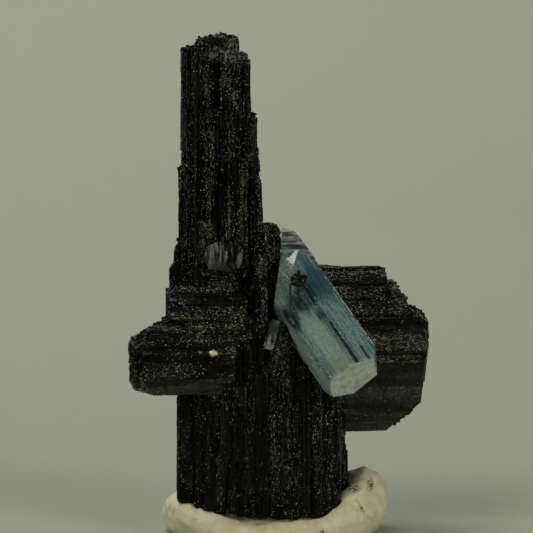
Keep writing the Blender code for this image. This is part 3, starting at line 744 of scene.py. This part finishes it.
# %% [markdown]
# ## The aquamarine's finish
# Beryl is a clear mineral with an index of 1.577 and a faint blue absorption, so those are plain
# values. What varies is the surface: blue streaks on the right face, chalk on the end face,
# frosting at the left edge, and soft pools of milk and dark blue along the front. The patterns
# are read in the crystal's own axes: x across, y towards the front face, and z along, zero at
# the end face. The sides, the frosted faces and the window over the needle share one recipe in
# three versions, because how much light a finish lets through is one plain value.

# %% Aquamarine finish
TINT, TINT_DENSITY = (0.30, 0.72, 0.84, 1.0), 95.0
BERYL_INDEX, CLEAR_INDEX = 1.577, 1.56
BREAK_HEIGHT = 28.9
STAINS = ((-0.58, 3.1, -0.15), (-0.69, 3.1, -1.57), (0.05, 1.9, 0.0))
POOLS = [
    ((1.7, 1.2, -4.6), (2.6, 2.8, 6.4), 0.95, (0.50, 0.80, 0.72)),
    ((-0.6, 3.1, -4.0), (1.75, 2.6, 4.6), 1.0, (0.66, 0.94, 0.79)),
    ((-3.0, 1.2, -3.6), (1.5, 2.8, 6.4), 1.0, (0.92, 1.0, 0.94)),
    ((-1.0, 2.8, -12.3), (1.9, 2.8, 2.4), 1.0, (0.28, 0.39, 0.34)),
    ((0.9, 3.0, -13.4), (2.2, 2.8, 2.0), 1.0, (0.50, 0.61, 0.52)),
    ((2.7, 1.6, -10.4), (2.0, 2.4, 3.4), 1.0, (0.09, 0.15, 0.14)),
    ((0.4, 3.0, -9.3), (3.1, 2.8, 2.1), 1.0, (0.006, 0.042, 0.055)),
    ((-2.0, 2.8, -8.0), (1.15, 1.8, 2.0), 1.0, (0.006, 0.034, 0.045)),
    ((0.7, 2.9, -6.4), (0.8, 1.6, 1.6), 0.8, (0.02, 0.10, 0.13)),
    ((0.6, 3.1, -0.4), (3.4, 2.6, 2.3), 0.85, (0.66, 0.90, 0.76)),
]


def beryl_colours(tree, flake, streak):
    own = placed(tree, own=BERYL_FRAME)
    wander = shade(tree, "ShaderNodeTexNoise", {
        "Vector": placed(tree, (1, 1, 0.5), BERYL_FRAME), "Scale": 0.9, "Detail": 3.0,
    }).outputs
    shift = vectors(tree, "SUBTRACT", wander["Color"], (0.5, 0.5, 0.5))[0]
    shift = vectors(tree, "MULTIPLY", shift, (1.6, 1.6, 3.2))[0]
    loose = vectors(tree, "ADD", own, shift)[0]
    body = blend_colour(tree, span(tree, streak, 0.4, 0.62), (0.24, 0.44, 0.42), (0.44, 0.64, 0.58))
    for heart, reach, weight, colour in POOLS:
        wisp = span(tree, streak, 0.36, 0.52, 0.72 * weight, weight)
        body = blend_colour(tree, times(tree, pool(tree, loose, heart, reach), wisp), body, colour)
    across, _, along = shade(tree, "ShaderNodeSeparateXYZ", {"Vector": own}).outputs
    left = times(tree, span(tree, across, -1.2, -1.7), span(tree, streak, 0.48, 0.56))
    left = times(tree, left, span(tree, along, -7.0, -5.6, 0.0, 0.6))
    body = blend_colour(tree, left, body, (0.06, 0.32, 0.40))
    right = times(tree, span(tree, across, 0.9, 1.8), span(tree, streak, 0.60, 0.42, 0.10, 0.65))
    right = times(tree, right, span(tree, flake, 0.64, 0.40, 0.45, 1.0))
    body = blend_colour(tree, right, body, (0.04, 0.26, 0.36))
    face = span(tree, along, -0.5, -0.02)
    chalk = times(tree, face, span(tree, wander["Fac"], 0.36, 0.54, 0.40, 1.0))
    body = blend_colour(tree, chalk, body, (0.90, 1.0, 0.88))
    for heart in STAINS:
        stain = times(tree, pool(tree, loose, heart, (0.6, 1.0, 0.55)), span(tree, flake, 0.4, 0.55))
        body = blend_colour(tree, stain, body, (0.66, 0.56, 0.12))
    mottle = blend_value(tree, face, span(tree, flake, 0.3, 0.7, 0.70, 1.10), 0.93)
    return toned(tree, body, mottle)


def aquamarine_finish(name, transmission, roughness):
    finish, tree, shader = new_finish(name)
    flake = grain(tree, placed(tree, (1, 1, 0.7), BERYL_FRAME), 4.5, 4.0, 0.7)
    streak = grain(tree, placed(tree, (2.4, 2.4, 0.14), BERYL_FRAME), 1.2, 3.0, 0.5)
    tree.links.new(beryl_colours(tree, flake, streak), shader.inputs["Base Color"])
    tree.links.new(span(tree, flake, 0.35, 0.75, roughness, roughness + 0.14), shader.inputs["Roughness"])
    shader.inputs["Transmission Weight"].default_value = transmission
    shader.inputs["IOR"].default_value = BERYL_INDEX
    shader.inputs["Specular IOR Level"].default_value = 0.22
    lines = bumped(tree, streak, 0.04, 0.4)
    tree.links.new(bumped(tree, flake, 0.02, 0.5, lines), shader.inputs["Normal"])
    add_tint(tree, TINT, TINT_DENSITY)
    return finish


def add_tint(tree, colour, density):
    tint = tree.nodes.new("ShaderNodeVolumeAbsorption")
    tint.inputs["Color"].default_value = colour
    tint.inputs["Density"].default_value = density
    tree.links.new(tint.outputs[0], tree.nodes["Material Output"].inputs["Volume"])


def clear_finish(name, low, high, transmission, tint, density, ribbed, spread=0.13):
    finish, tree, shader = new_finish(name)
    lines = grain(tree, placed(tree, ribbed), 1.0, 3.0)
    colour = blend_colour(tree, span(tree, lines, 0.51 - spread, 0.51 + spread), low, high)
    tree.links.new(colour, shader.inputs["Base Color"])
    tree.links.new(span(tree, lines, 0.3, 0.7, 0.03, 0.16), shader.inputs["Roughness"])
    shader.inputs["Transmission Weight"].default_value = transmission
    shader.inputs["IOR"].default_value = CLEAR_INDEX
    tree.links.new(bumped(tree, lines, 0.1, 0.7), shader.inputs["Normal"])
    add_tint(tree, tint, density)
    return finish


SIDES = aquamarine_finish("aquamarine_sides", 0.64, 0.05)
FROSTED = aquamarine_finish("frosted_aquamarine", 0.36, 0.18)
WATER = clear_finish(
    "clear_aquamarine", (0.10, 0.13, 0.12), (0.80, 0.95, 0.90), 0.68, TINT, 30.0, (0.35, 0.35, 2.6), 0.11,
)
WINDOW = aquamarine_finish("window_over_needle", 0.75, 0.02)
print("aquamarine finishes:", SIDES.name, FROSTED.name, WATER.name, WINDOW.name)

# %% [markdown]
# ## The aquamarine's shape
# The merged solid has a bore for the needle, which only the separate solids need, so its walls
# are taken out and the end face is closed again. The edges get a narrow bevel, and a few dozen
# small chips are cut out of them, because no crystal of this size keeps all its edges.

# %% Aquamarine
def without_bore(bm, place=(0.73, 2.3), reach=0.34):
    inside = []
    for vert in bm.verts:
        own = INTO_BERYL @ vert.co
        if math.hypot(own.x - place[0], own.y - place[1]) < reach and own.z > -5.8:
            inside.append(vert)
    bmesh.ops.delete(bm, geom=inside, context="VERTS")
    rim = [edge for edge in bm.edges if edge.is_boundary]
    bmesh.ops.edgeloop_fill(bm, edges=rim)
    bmesh.ops.recalc_face_normals(bm, faces=bm.faces[:])
    bmesh.ops.dissolve_limit(bm, angle_limit=math.radians(0.5), verts=bm.verts[:], edges=bm.edges[:])
    print("bore closed over", len(rim), "edges")


def softened(bm, width, sharp=20.0, longer=0.7):
    long = [e for e in bm.edges if len(e.link_faces) == 2 and e.calc_length() > longer]
    edges = [e for e in long if e.calc_face_angle(0.0) > math.radians(sharp)]
    bmesh.ops.bevel(bm, geom=edges, offset=width, segments=1, affect="EDGES", clamp_overlap=True)


def chip_tools(count, seed):
    """Small blocks that bite the long edges, each given in the crystal's own axes."""
    dice = random.Random(seed)
    bm = bmesh.new()
    for _ in range(count):
        angle = math.radians(dice.choice((10, 70, 130, 130, 190, 190)))
        bite, long = dice.uniform(0.03, 0.16), dice.uniform(0.25, 1.3)
        middle = Vector((math.cos(angle), math.sin(angle), 0)) * (BERYL_CORNER - bite + 0.5)
        middle.z = dice.uniform(-11.5, -0.2)
        turn = Matrix.Rotation(angle, 4, "Z")
        for most, axis in ((0.3, "Y"), (0.5, "X"), (0.3, "Z")):
            turn = turn @ Matrix.Rotation(dice.uniform(-most, most), 4, axis)
        block = BERYL_FRAME @ Matrix.Translation(middle) @ turn @ Matrix.Diagonal((1.0, 1.6, long, 1.0))
        bmesh.ops.create_cube(bm, size=1.0, matrix=block)
    return mesh_piece("chips", bm)


def carved(piece, tools):
    modifier = piece.modifiers.new("chips", "BOOLEAN")
    modifier.object, modifier.use_self = tools, True
    modifier.operation, modifier.solver = "DIFFERENCE", "EXACT"
    graph = bpy.context.evaluated_depsgraph_get()
    mesh = bpy.data.meshes.new_from_object(piece.evaluated_get(graph))
    piece.modifiers.clear()
    piece.data = mesh
    bpy.data.objects.remove(tools)


def scored(bm, spot, across):
    """A line round the crystal where one kind of surface meets another."""
    cut = {"plane_co": BERYL_FRAME @ Vector(spot), "plane_no": BERYL_TURN @ Vector(across)}
    bmesh.ops.bisect_plane(bm, geom=bm.verts[:] + bm.edges[:] + bm.faces[:], **cut)


def dress_faces(mesh):
    """Clear glass above the break and over the needle, frosting on the end and the left strip."""
    for face in mesh.polygons:
        own = BERYL_TURN.transposed() @ face.normal
        spot = INTO_BERYL @ (face.center / MM)
        left_strip = own.x < -0.55 and own.y > -0.6
        face.material_index = 0
        if face.center.z > BREAK_HEIGHT * MM:
            face.material_index = 2
        elif own.z > 0.4 or left_strip or spot.x < -3.2:
            face.material_index = 1
        elif own.y > 0.5 and 0.3 < spot.x < 1.55 and spot.z > -6.6:
            face.material_index = 3


beryl = merged("aquamarine", 0.5)
without_bore(beryl)
softened(beryl, 0.06)
scored(beryl, (0.3, 0, 0), (1, 0, 0))
scored(beryl, (1.55, 0, 0), (1, 0, 0))
scored(beryl, (0, 0, -6.6), (0.1, 0, 1))
aquamarine = mesh_piece("aquamarine_crystal", beryl, SIDES, FROSTED, WATER, WINDOW)
carved(aquamarine, chip_tools(34, 4))
dress_faces(aquamarine.data)
mount(aquamarine, "aquamarine", "aquamarine")

# %% [markdown]
# ## What grew inside the aquamarine
# The milky heart of the crystal is a mist of tiny inclusions. Its colour is already in the
# finish; here it gets some thousands of real specks, dense along the middle of the front and
# thin in the dark band above. They are scattered by chance and kept where a small formula, and
# the crystal's own skin, let them be.

# %% Mist tree and mist
def speck_tree():
    tree, given, result = new_tree("specks", [("Finish", "NodeSocketMaterial", None)])
    spread = tumbled(tree, given["Geometry"], 6, stored(tree, "size", "FLOAT"))
    return finish_tree(tree, spread, given["Finish"], result)


def speck_cloud(name, points, sizes, finish):
    mesh = bpy.data.meshes.new("points")
    mesh.from_pydata([p * MM for p in points], [], [])
    mesh.attributes.new("size", "FLOAT", "POINT").data.foreach_set("value", sizes)
    host = linked("points", mesh)
    piece = grown(host, name, specks, Finish=finish)
    bpy.data.objects.remove(host)
    return piece


def ease(value, low, high):
    part = min(max((value - low) / (high - low), 0.0), 1.0)
    return part * part * (3 - 2 * part)


BERYL_SKIN = BVHTree.FromPolygons(
    [vertex.co / MM for vertex in aquamarine.data.vertices],
    [face.vertices[:] for face in aquamarine.data.polygons],
)


def deep_inside(place, margin):
    """Whether a point is inside the beryl and no nearer to its surface than the margin."""
    nearest, normal, _, gap = BERYL_SKIN.find_nearest(place)
    return gap > margin and (place - nearest).dot(normal) < 0


def mist_at(own):
    """How thick the mist is at a place in the crystal's own axes."""
    wisp = 0.5 + 0.9 * noise.noise(Vector((own.x * 0.9, own.y * 0.9, own.z * 0.35)))
    heart = ease(own.z, -7.6, -5.6) * ease(own.x, 0.3, -0.4) * ease(own.x, -2.6, -1.4)
    heart *= ease(own.y, -1.5, 0.5)
    top = ease(own.z, -10.8, -12.0) * ease(own.x, 2.2, 0.6) * 0.3
    behind = ease(own.y, 2.1, 1.7) * ease(own.y, 0.4, 0.9) * ease(own.x, 2.4, 1.8) * ease(own.x, 0.0, 0.3)
    behind *= ease(own.z, -7.0, -6.0) * 2.2
    return (heart + top + behind + 0.02) * max(wisp, 0.12) * ease(own.z, -0.7, -1.6)


def inside_points(count, density, seed, margin=0.14, low=-12.4):
    dice = random.Random(seed)
    points = []
    while len(points) < count:
        own = Vector((dice.uniform(-3.6, 3.6), dice.uniform(-3.6, 3.6), dice.uniform(low, -0.05)))
        place = BERYL_FRAME @ own
        if dice.random() < density(own) and deep_inside(place, margin):
            points.append(place)
    return points


specks = speck_tree()
dice = random.Random(21)
mist_points = inside_points(8500, mist_at, 8)
mist = speck_cloud("milky_mist", mist_points, [dice.uniform(0.018, 0.042) for _ in mist_points], MIST)
mount(mist, "aquamarine")

# %% [markdown]
# ## Rust specks, twigs and needles
# Rust specks gather on the upper faces and pale flecks on the right one, so both are scattered
# over the crystal's own mesh. A bundle of dark twigs sits in the dark band, and a black needle
# runs out to the end face with a finer one beside it. They are little tourmalines, so they reuse
# the prism tree.

# %% Rust specks
def face_points(mesh, count, chance, seed):
    dice = random.Random(seed)
    mesh.calc_loop_triangles()
    corners = [[mesh.vertices[v].co / MM for v in tri.vertices] for tri in mesh.loop_triangles]
    areas = [tri.area for tri in mesh.loop_triangles]
    points = []
    while len(points) < count:
        a, b, c = dice.choices(corners, areas)[0]
        u, v = dice.random(), dice.random()
        if u + v > 1:
            u, v = 1 - u, 1 - v
        place = a + (b - a) * u + (c - a) * v
        if dice.random() < chance(INTO_BERYL @ place, place):
            points.append(place)
    return points


def rust_at(own, place):
    near_top = ease(own.z, -10.2, -11.8) * ease(own.x, 2.6, 0.8) * ease(place.z, 29.2, 28.6)
    patch = ease(noise.noise(own * 0.9), -0.25, 0.25)
    return near_top * patch + 0.02 * ease(place.z, 29.2, 28.6)


def flecks_at(own, place):
    right = ease(own.x, 1.2, 1.9) * ease(own.z, -0.3, -0.8) * ease(own.z, -9.5, -8.0)
    all_over = 0.05 * ease(own.z, -9.5, -8.0) * ease(own.z, -0.1, -0.5)
    return right * ease(noise.noise(own * 1.4), -0.1, 0.3) + all_over


rust_points = face_points(aquamarine.data, 620, rust_at, 3)
rust = speck_cloud("rust_specks", rust_points, [dice.uniform(0.02, 0.065) for _ in rust_points], RUST)
mount(rust, "aquamarine")
fleck_points = face_points(aquamarine.data, 380, flecks_at, 5)
flecks = speck_cloud("pale_flecks", fleck_points, [dice.uniform(0.015, 0.042) for _ in fleck_points], MIST)
mount(flecks, "aquamarine")

# %% Twigs and needles
TWIGS = [
    ((0.60, -10.60), (1.42, -12.00), 0.46),
    ((0.30, -11.70), (1.50, -10.70), 0.66),
    ((0.70, -11.80), (1.75, -11.00), 0.44),
    ((0.15, -11.25), (0.80, -10.40), 0.60),
    ((-0.10, -11.25), (-0.90, -9.80), 0.30),
    ((0.05, -10.10), (-0.72, -8.60), 0.40),
    ((-0.55, -10.50), (-1.20, -9.20), 0.34),
    ((0.42, -10.60), (-0.42, -8.90), 0.42),
    ((-0.35, -11.90), (-0.80, -11.05), 0.18),
    ((1.25, -10.70), (1.00, -9.70), 0.26),
]


def under_skin(x, z, deep=0.08):
    """A place just inside the front faces of the beryl, above a point of its own x and z."""
    front, right = (3.1 + 0.174 * x) / 0.985, (3.1 - 0.766 * x) / 0.643
    return BERYL_FRAME @ Vector((x, min(front, right) - deep, z))


def bar_seeds(bars):
    lists = {name: [] for name in NAMES}
    for start, end, wide in bars:
        start, end = Vector(start), Vector(end)
        along = (end - start).normalized()
        for name, value in zip(NAMES, (
            (start + end) / 2 * MM, along, along.orthogonal().normalized(),
            Vector((wide, wide * 0.8, (end - start).length)) * MM, 0.0,
        )):
            lists[name].append(value)
    return lists


def needle_bars(place, low, high, wide, pieces, seed):
    """A needle as a run of short joined prisms, so that its sides aren't quite even."""
    dice = random.Random(seed)
    bars = []
    for k in range(pieces):
        a = low + (high - low) * k / pieces
        b = low + (high - low) * (k + 1.15) / pieces
        shift = Vector((dice.uniform(-0.02, 0.02), dice.uniform(-0.02, 0.02), 0))
        ends = [BERYL_FRAME @ (Vector((*place, z)) + shift) for z in (a, min(b, high))]
        bars.append((*ends, wide * dice.uniform(0.88, 1.08)))
    return bars


INCLUSION = schorl_finish("dark_inclusion", 0.35)
twig_bars = [(under_skin(*start), under_skin(*end), wide) for start, end, wide in TWIGS]
twigs = prisms("dark_twigs", bar_seeds(twig_bars), 6, INCLUSION, 0.9)
mount(twigs, "schorl")
thick_bars = needle_bars((0.95, 2.72), -5.4, -0.04, 0.44, 9, 2)
mount(prisms("black_needle", bar_seeds(thick_bars), 6, INCLUSION, 0.98), "schorl", "schorl_needle")
fine_bars = needle_bars((2.15, 1.55), -1.9, -0.05, 0.16, 4, 6)
mount(prisms("fine_needle", bar_seeds(fine_bars), 5, INCLUSION, 0.98), "schorl")

# %% [markdown]
# ## Slivers on the edges
# The long edges of the crystal glint where thin splinters of it still cling, and the splinters' pale
# colour is a painted glint over their own reflections. They are prisms of four sides, from the same
# tree, laid along the edges just inside the skin.

# %% Glassy slivers on the beryl's edges, in a pale colour that paints their glint
def painted_glint_slivers(count, seed):
    dice = random.Random(seed)
    bars = []
    for _ in range(count):
        angle = math.radians(dice.choice((10, 10, 10, 70, 130, 190)))
        middle = Vector((math.cos(angle), math.sin(angle), 0)) * (BERYL_CORNER - dice.uniform(0.16, 0.26))
        middle.z = dice.uniform(-11.0, -1.3)
        lean = Vector((dice.uniform(-0.25, 0.25), dice.uniform(-0.25, 0.25), 1.0)) * dice.uniform(0.05, 0.17)
        bars.append((BERYL_FRAME @ (middle - lean), BERYL_FRAME @ (middle + lean), dice.uniform(0.05, 0.12)))
    return bars


# The slivers' pale colour is a painted glint.
GLINT_SLIVER = clear_finish("glint_sliver", (0.45, 0.75, 0.80), (0.95, 1.0, 1.0), 0.45, TINT, 20.0, (2.0, 2.0, 2.0))
glint_slivers = prisms("painted_glint_slivers", bar_seeds(painted_glint_slivers(110, 12)), 4, GLINT_SLIVER, 0.5)
mount(glint_slivers, "aquamarine")

# %% [markdown]
# ## The small crystals on the front
# A little aquamarine, clear, with a painted glint of white on its lower tip, leans beside the big one.
# A glassy ribbed tablet lies on the tower. Both keep their solids, which are shaped right, and get
# finishes of their own. The yellow grain is rounded from its solid and roughened.

# %% Small crystals
def tipped(finish, heart, reach, colour):
    """Another colour over one part of a finish."""
    tree = finish.node_tree
    socket = tree.nodes["Principled BSDF"].inputs["Base Color"]
    under = socket.links[0].from_socket
    spot = shade(tree, "ShaderNodeTexCoord").outputs["Object"]
    part = pool(tree, spot, Vector(heart) * MM, Vector(reach) * MM)
    tree.links.new(blend_colour(tree, part, under, colour), socket)


SMALL_BLUE = clear_finish(
    "small_aquamarine", (0.02, 0.035, 0.03), (0.95, 1.0, 0.95), 0.74, TINT, 40.0, (2.4, 2.4, 0.9), 0.08,
)
CLEAR = clear_finish(
    "clear_tablet", (0.005, 0.008, 0.007), (0.70, 0.78, 0.74), 0.82,
    (0.6, 0.75, 0.85, 1.0), 40.0, (3.2, 1.0, 0.7), 0.08,
)
# The white on the small aquamarine's lower tip is a painted glint.
tipped(SMALL_BLUE, (0.5, -8.0, 19.7), (2.0, 4.0, 1.3), (0.95, 0.98, 0.88))
tipped(SMALL_BLUE, (0.9, -8.0, 22.3), (2.0, 4.0, 1.3), (0.10, 0.15, 0.14))
tipped(CLEAR, (-3.9, -7.0, 27.9), (3.0, 5.0, 1.5), (0.004, 0.006, 0.005))
for node, finish in (("small_aquamarine", SMALL_BLUE), ("glassy_tablet", CLEAR)):
    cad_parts[node].data.materials.clear()
    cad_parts[node].data.materials.append(finish)


def yellow_lump():
    finish, tree, shader = new_finish("yellow_grain")
    mottle = grain(tree, placed(tree), 4.0, 4.0)
    colour = blend_colour(tree, span(tree, mottle, 0.4, 0.62), (0.60, 0.50, 0.17), (0.88, 0.84, 0.56))
    tree.links.new(colour, shader.inputs["Base Color"])
    tree.links.new(span(tree, mottle, 0.3, 0.7, 0.25, 0.5), shader.inputs["Roughness"])
    tree.links.new(bumped(tree, mottle, 0.05, 0.6), shader.inputs["Normal"])
    bm = merged("yellow_grain", 0.5)
    bmesh.ops.triangulate(bm, faces=bm.faces[:])
    bmesh.ops.subdivide_edges(bm, edges=bm.edges[:], cuts=3, use_grid_fill=True)
    for _ in range(4):
        bmesh.ops.smooth_vert(
            bm, verts=bm.verts[:], factor=0.5, use_axis_x=True, use_axis_y=True, use_axis_z=True,
        )
    bm.normal_update()
    for vert in bm.verts:
        vert.co += vert.normal * (0.05 + 0.06 * noise.noise(vert.co * 4.0))
    return mesh_piece("yellow_lump", bm, finish)


mount(yellow_lump(), "yellow_grain", "yellow_grain")

# %% [markdown]
# ## Putty
# Mounting putty is matte and cream, with soft folds and finger dents. The solid is remeshed fine,
# pushed about by noise, and pinched along a few folds; its flat underside stays flat.

# %% Putty
# Three long, thin dark patches on the putty.
DARK_PATCHES = [
    ((9.5, -5.0, 5.0), (1.1, 5.0, 0.60)),
    ((11.3, -4.0, 5.3), (0.6, 5.0, 0.9)),
    ((6.2, -8.0, 1.1), (0.6, 4.0, 0.4)),
]


def putty_finish():
    finish, tree, shader = new_finish("putty")
    blotch = grain(tree, placed(tree), 0.5, 4.0)
    dust = grain(tree, placed(tree), 3.6, 3.0, 0.75)
    colour = blend_colour(tree, span(tree, blotch, 0.35, 0.65), (0.66, 0.61, 0.38), (0.82, 0.78, 0.54))
    colour = blend_colour(tree, span(tree, dust, 0.70, 0.76, 0.0, 0.75), colour, (0.16, 0.14, 0.13))
    spot = shade(tree, "ShaderNodeTexCoord").outputs["Object"]
    # Dark patches, broken up by the dust pattern.
    for heart, reach in DARK_PATCHES:
        dark_patch = pool(tree, spot, Vector(heart) * MM, Vector(reach) * MM)
        dark_patch = times(tree, dark_patch, span(tree, dust, 0.45, 0.50))
        colour = blend_colour(tree, dark_patch, colour, (0.03, 0.032, 0.034))
    tree.links.new(colour, shader.inputs["Base Color"])
    tree.links.new(span(tree, blotch, 0.3, 0.7, 0.55, 0.75), shader.inputs["Roughness"])
    fine = grain(tree, placed(tree), 2.8, 6.0, 0.66)
    tree.links.new(bumped(tree, fine, 0.22, 0.6), shader.inputs["Normal"])
    return finish


FOLDS = [
    ((-3.2, -9.4, 0.6), (-0.6, -8.6, 2.6)),
    ((-8.2, -7.4, 3.6), (-6.2, -8.4, 2.0)),
    ((6.6, -8.2, 1.0), (8.4, -7.2, 3.4)),
    ((10.4, -5.4, 2.2), (8.9, -4.6, 5.2)),
]


def fold_at(place):
    """How deep the nearest fold is: a soft crease along each of a few short lines."""
    deepest = 0.0
    for start, end in FOLDS:
        a, b = Vector(start), Vector(end)
        part = min(max((place - a).dot(b - a) / (b - a).length_squared, 0.0), 1.0)
        gap = (place - a.lerp(b, part)).length
        deepest = max(deepest, math.exp(-(gap / 0.35) ** 2))
    return deepest


def kneaded_putty():
    bm = merged("mounting_putty", 0.3)
    bmesh.ops.triangulate(bm, faces=bm.faces[:])
    piece = mesh_piece("kneaded_putty", bm, putty_finish())
    remesh = piece.modifiers.new("even", "REMESH")
    remesh.mode = "VOXEL"
    remesh.voxel_size = 0.26 * MM
    graph = bpy.context.evaluated_depsgraph_get()
    mesh = bpy.data.meshes.new_from_object(piece.evaluated_get(graph))
    piece.modifiers.clear()
    piece.data = mesh
    for vertex in mesh.vertices:
        place = vertex.co / MM
        soft = noise.noise(place * 0.33) * 0.34 + noise.noise(place * 0.9 + UP * 7) * 0.18
        soft += noise.noise(place * 2.2) * 0.06
        push = soft - 0.05 - 0.55 * fold_at(place)
        vertex.co += vertex.normal * push * MM * min(1.0, max(0.0, place.z - 0.3))
        vertex.co.z = max(vertex.co.z, 0.0)
    mesh.shade_smooth()
    return piece


mount(kneaded_putty(), "putty", "mounting_putty")

# %% [markdown]
# ## Floor and light
# A pale sheet that curves up behind the stone, a large soft light from the upper left, a weaker
# one from the right, one over the back of the sheet, and an even surround that the black faces
# can mirror.

# %% Stage and lights
def pale_sheet():
    bm = bmesh.new()
    path = [(-120, 0), (350, 0)]
    for k in range(1, 13):
        angle = math.pi / 2 * k / 12
        path.append((350 + 300 * math.sin(angle), 300 - 300 * math.cos(angle)))
    path += [(650, 1400)]
    rows = [[bm.verts.new((x, y, z)) for x in (-900, 900)] for y, z in path]
    for low, high in zip(rows, rows[1:]):
        bm.faces.new((low[0], low[1], high[1], high[0]))
    finish, tree, shader = new_finish("pale_sheet")
    tone = grain(tree, placed(tree), 0.01, 2.0)
    colour = blend_colour(tree, tone, (0.385, 0.406, 0.327), (0.40, 0.421, 0.340))
    tree.links.new(colour, shader.inputs["Base Color"])
    shader.inputs["Roughness"].default_value = 0.9
    return mesh_piece("floor", bm, finish, smooth=True)


def soft_light(name, place, target, size, watts, colour=(1, 1, 1)):
    light = bpy.data.lights.new(name, "AREA")
    light.shape = "DISK"
    light.size = size * MM
    light.energy = watts
    light.color = colour
    lamp = bpy.data.objects.new(name, light)
    lamp.location = Vector(place) * MM
    lamp.rotation_euler = (Vector(place) - Vector(target)).to_track_quat("Z", "Y").to_euler()
    bpy.context.scene.collection.objects.link(lamp)


pale_sheet()
soft_light("key", (-560, -640, 900), (0, 0, 25), 620, 4.5, (1.0, 0.99, 0.92))
soft_light("fill", (520, -480, 260), (0, 0, 15), 360, 1.75, (1.0, 0.99, 0.95))
soft_light("sweep", (-220, 330, 760), (-60, 560, 120), 520, 3.3, (1.0, 1.0, 0.95))
world = bpy.data.worlds.new("surround")
world.use_nodes = True
surround = world.node_tree.nodes["Background"]
seen = shade(world.node_tree, "ShaderNodeLightPath").outputs["Is Camera Ray"]
surround.inputs["Color"].default_value = (0.94, 1.0, 0.80, 1.0)
world.node_tree.links.new(blend_value(world.node_tree, seen, 0.06, 0.30), surround.inputs["Strength"])
bpy.context.scene.world = world
bpy.context.scene.view_settings.view_transform = "Standard"
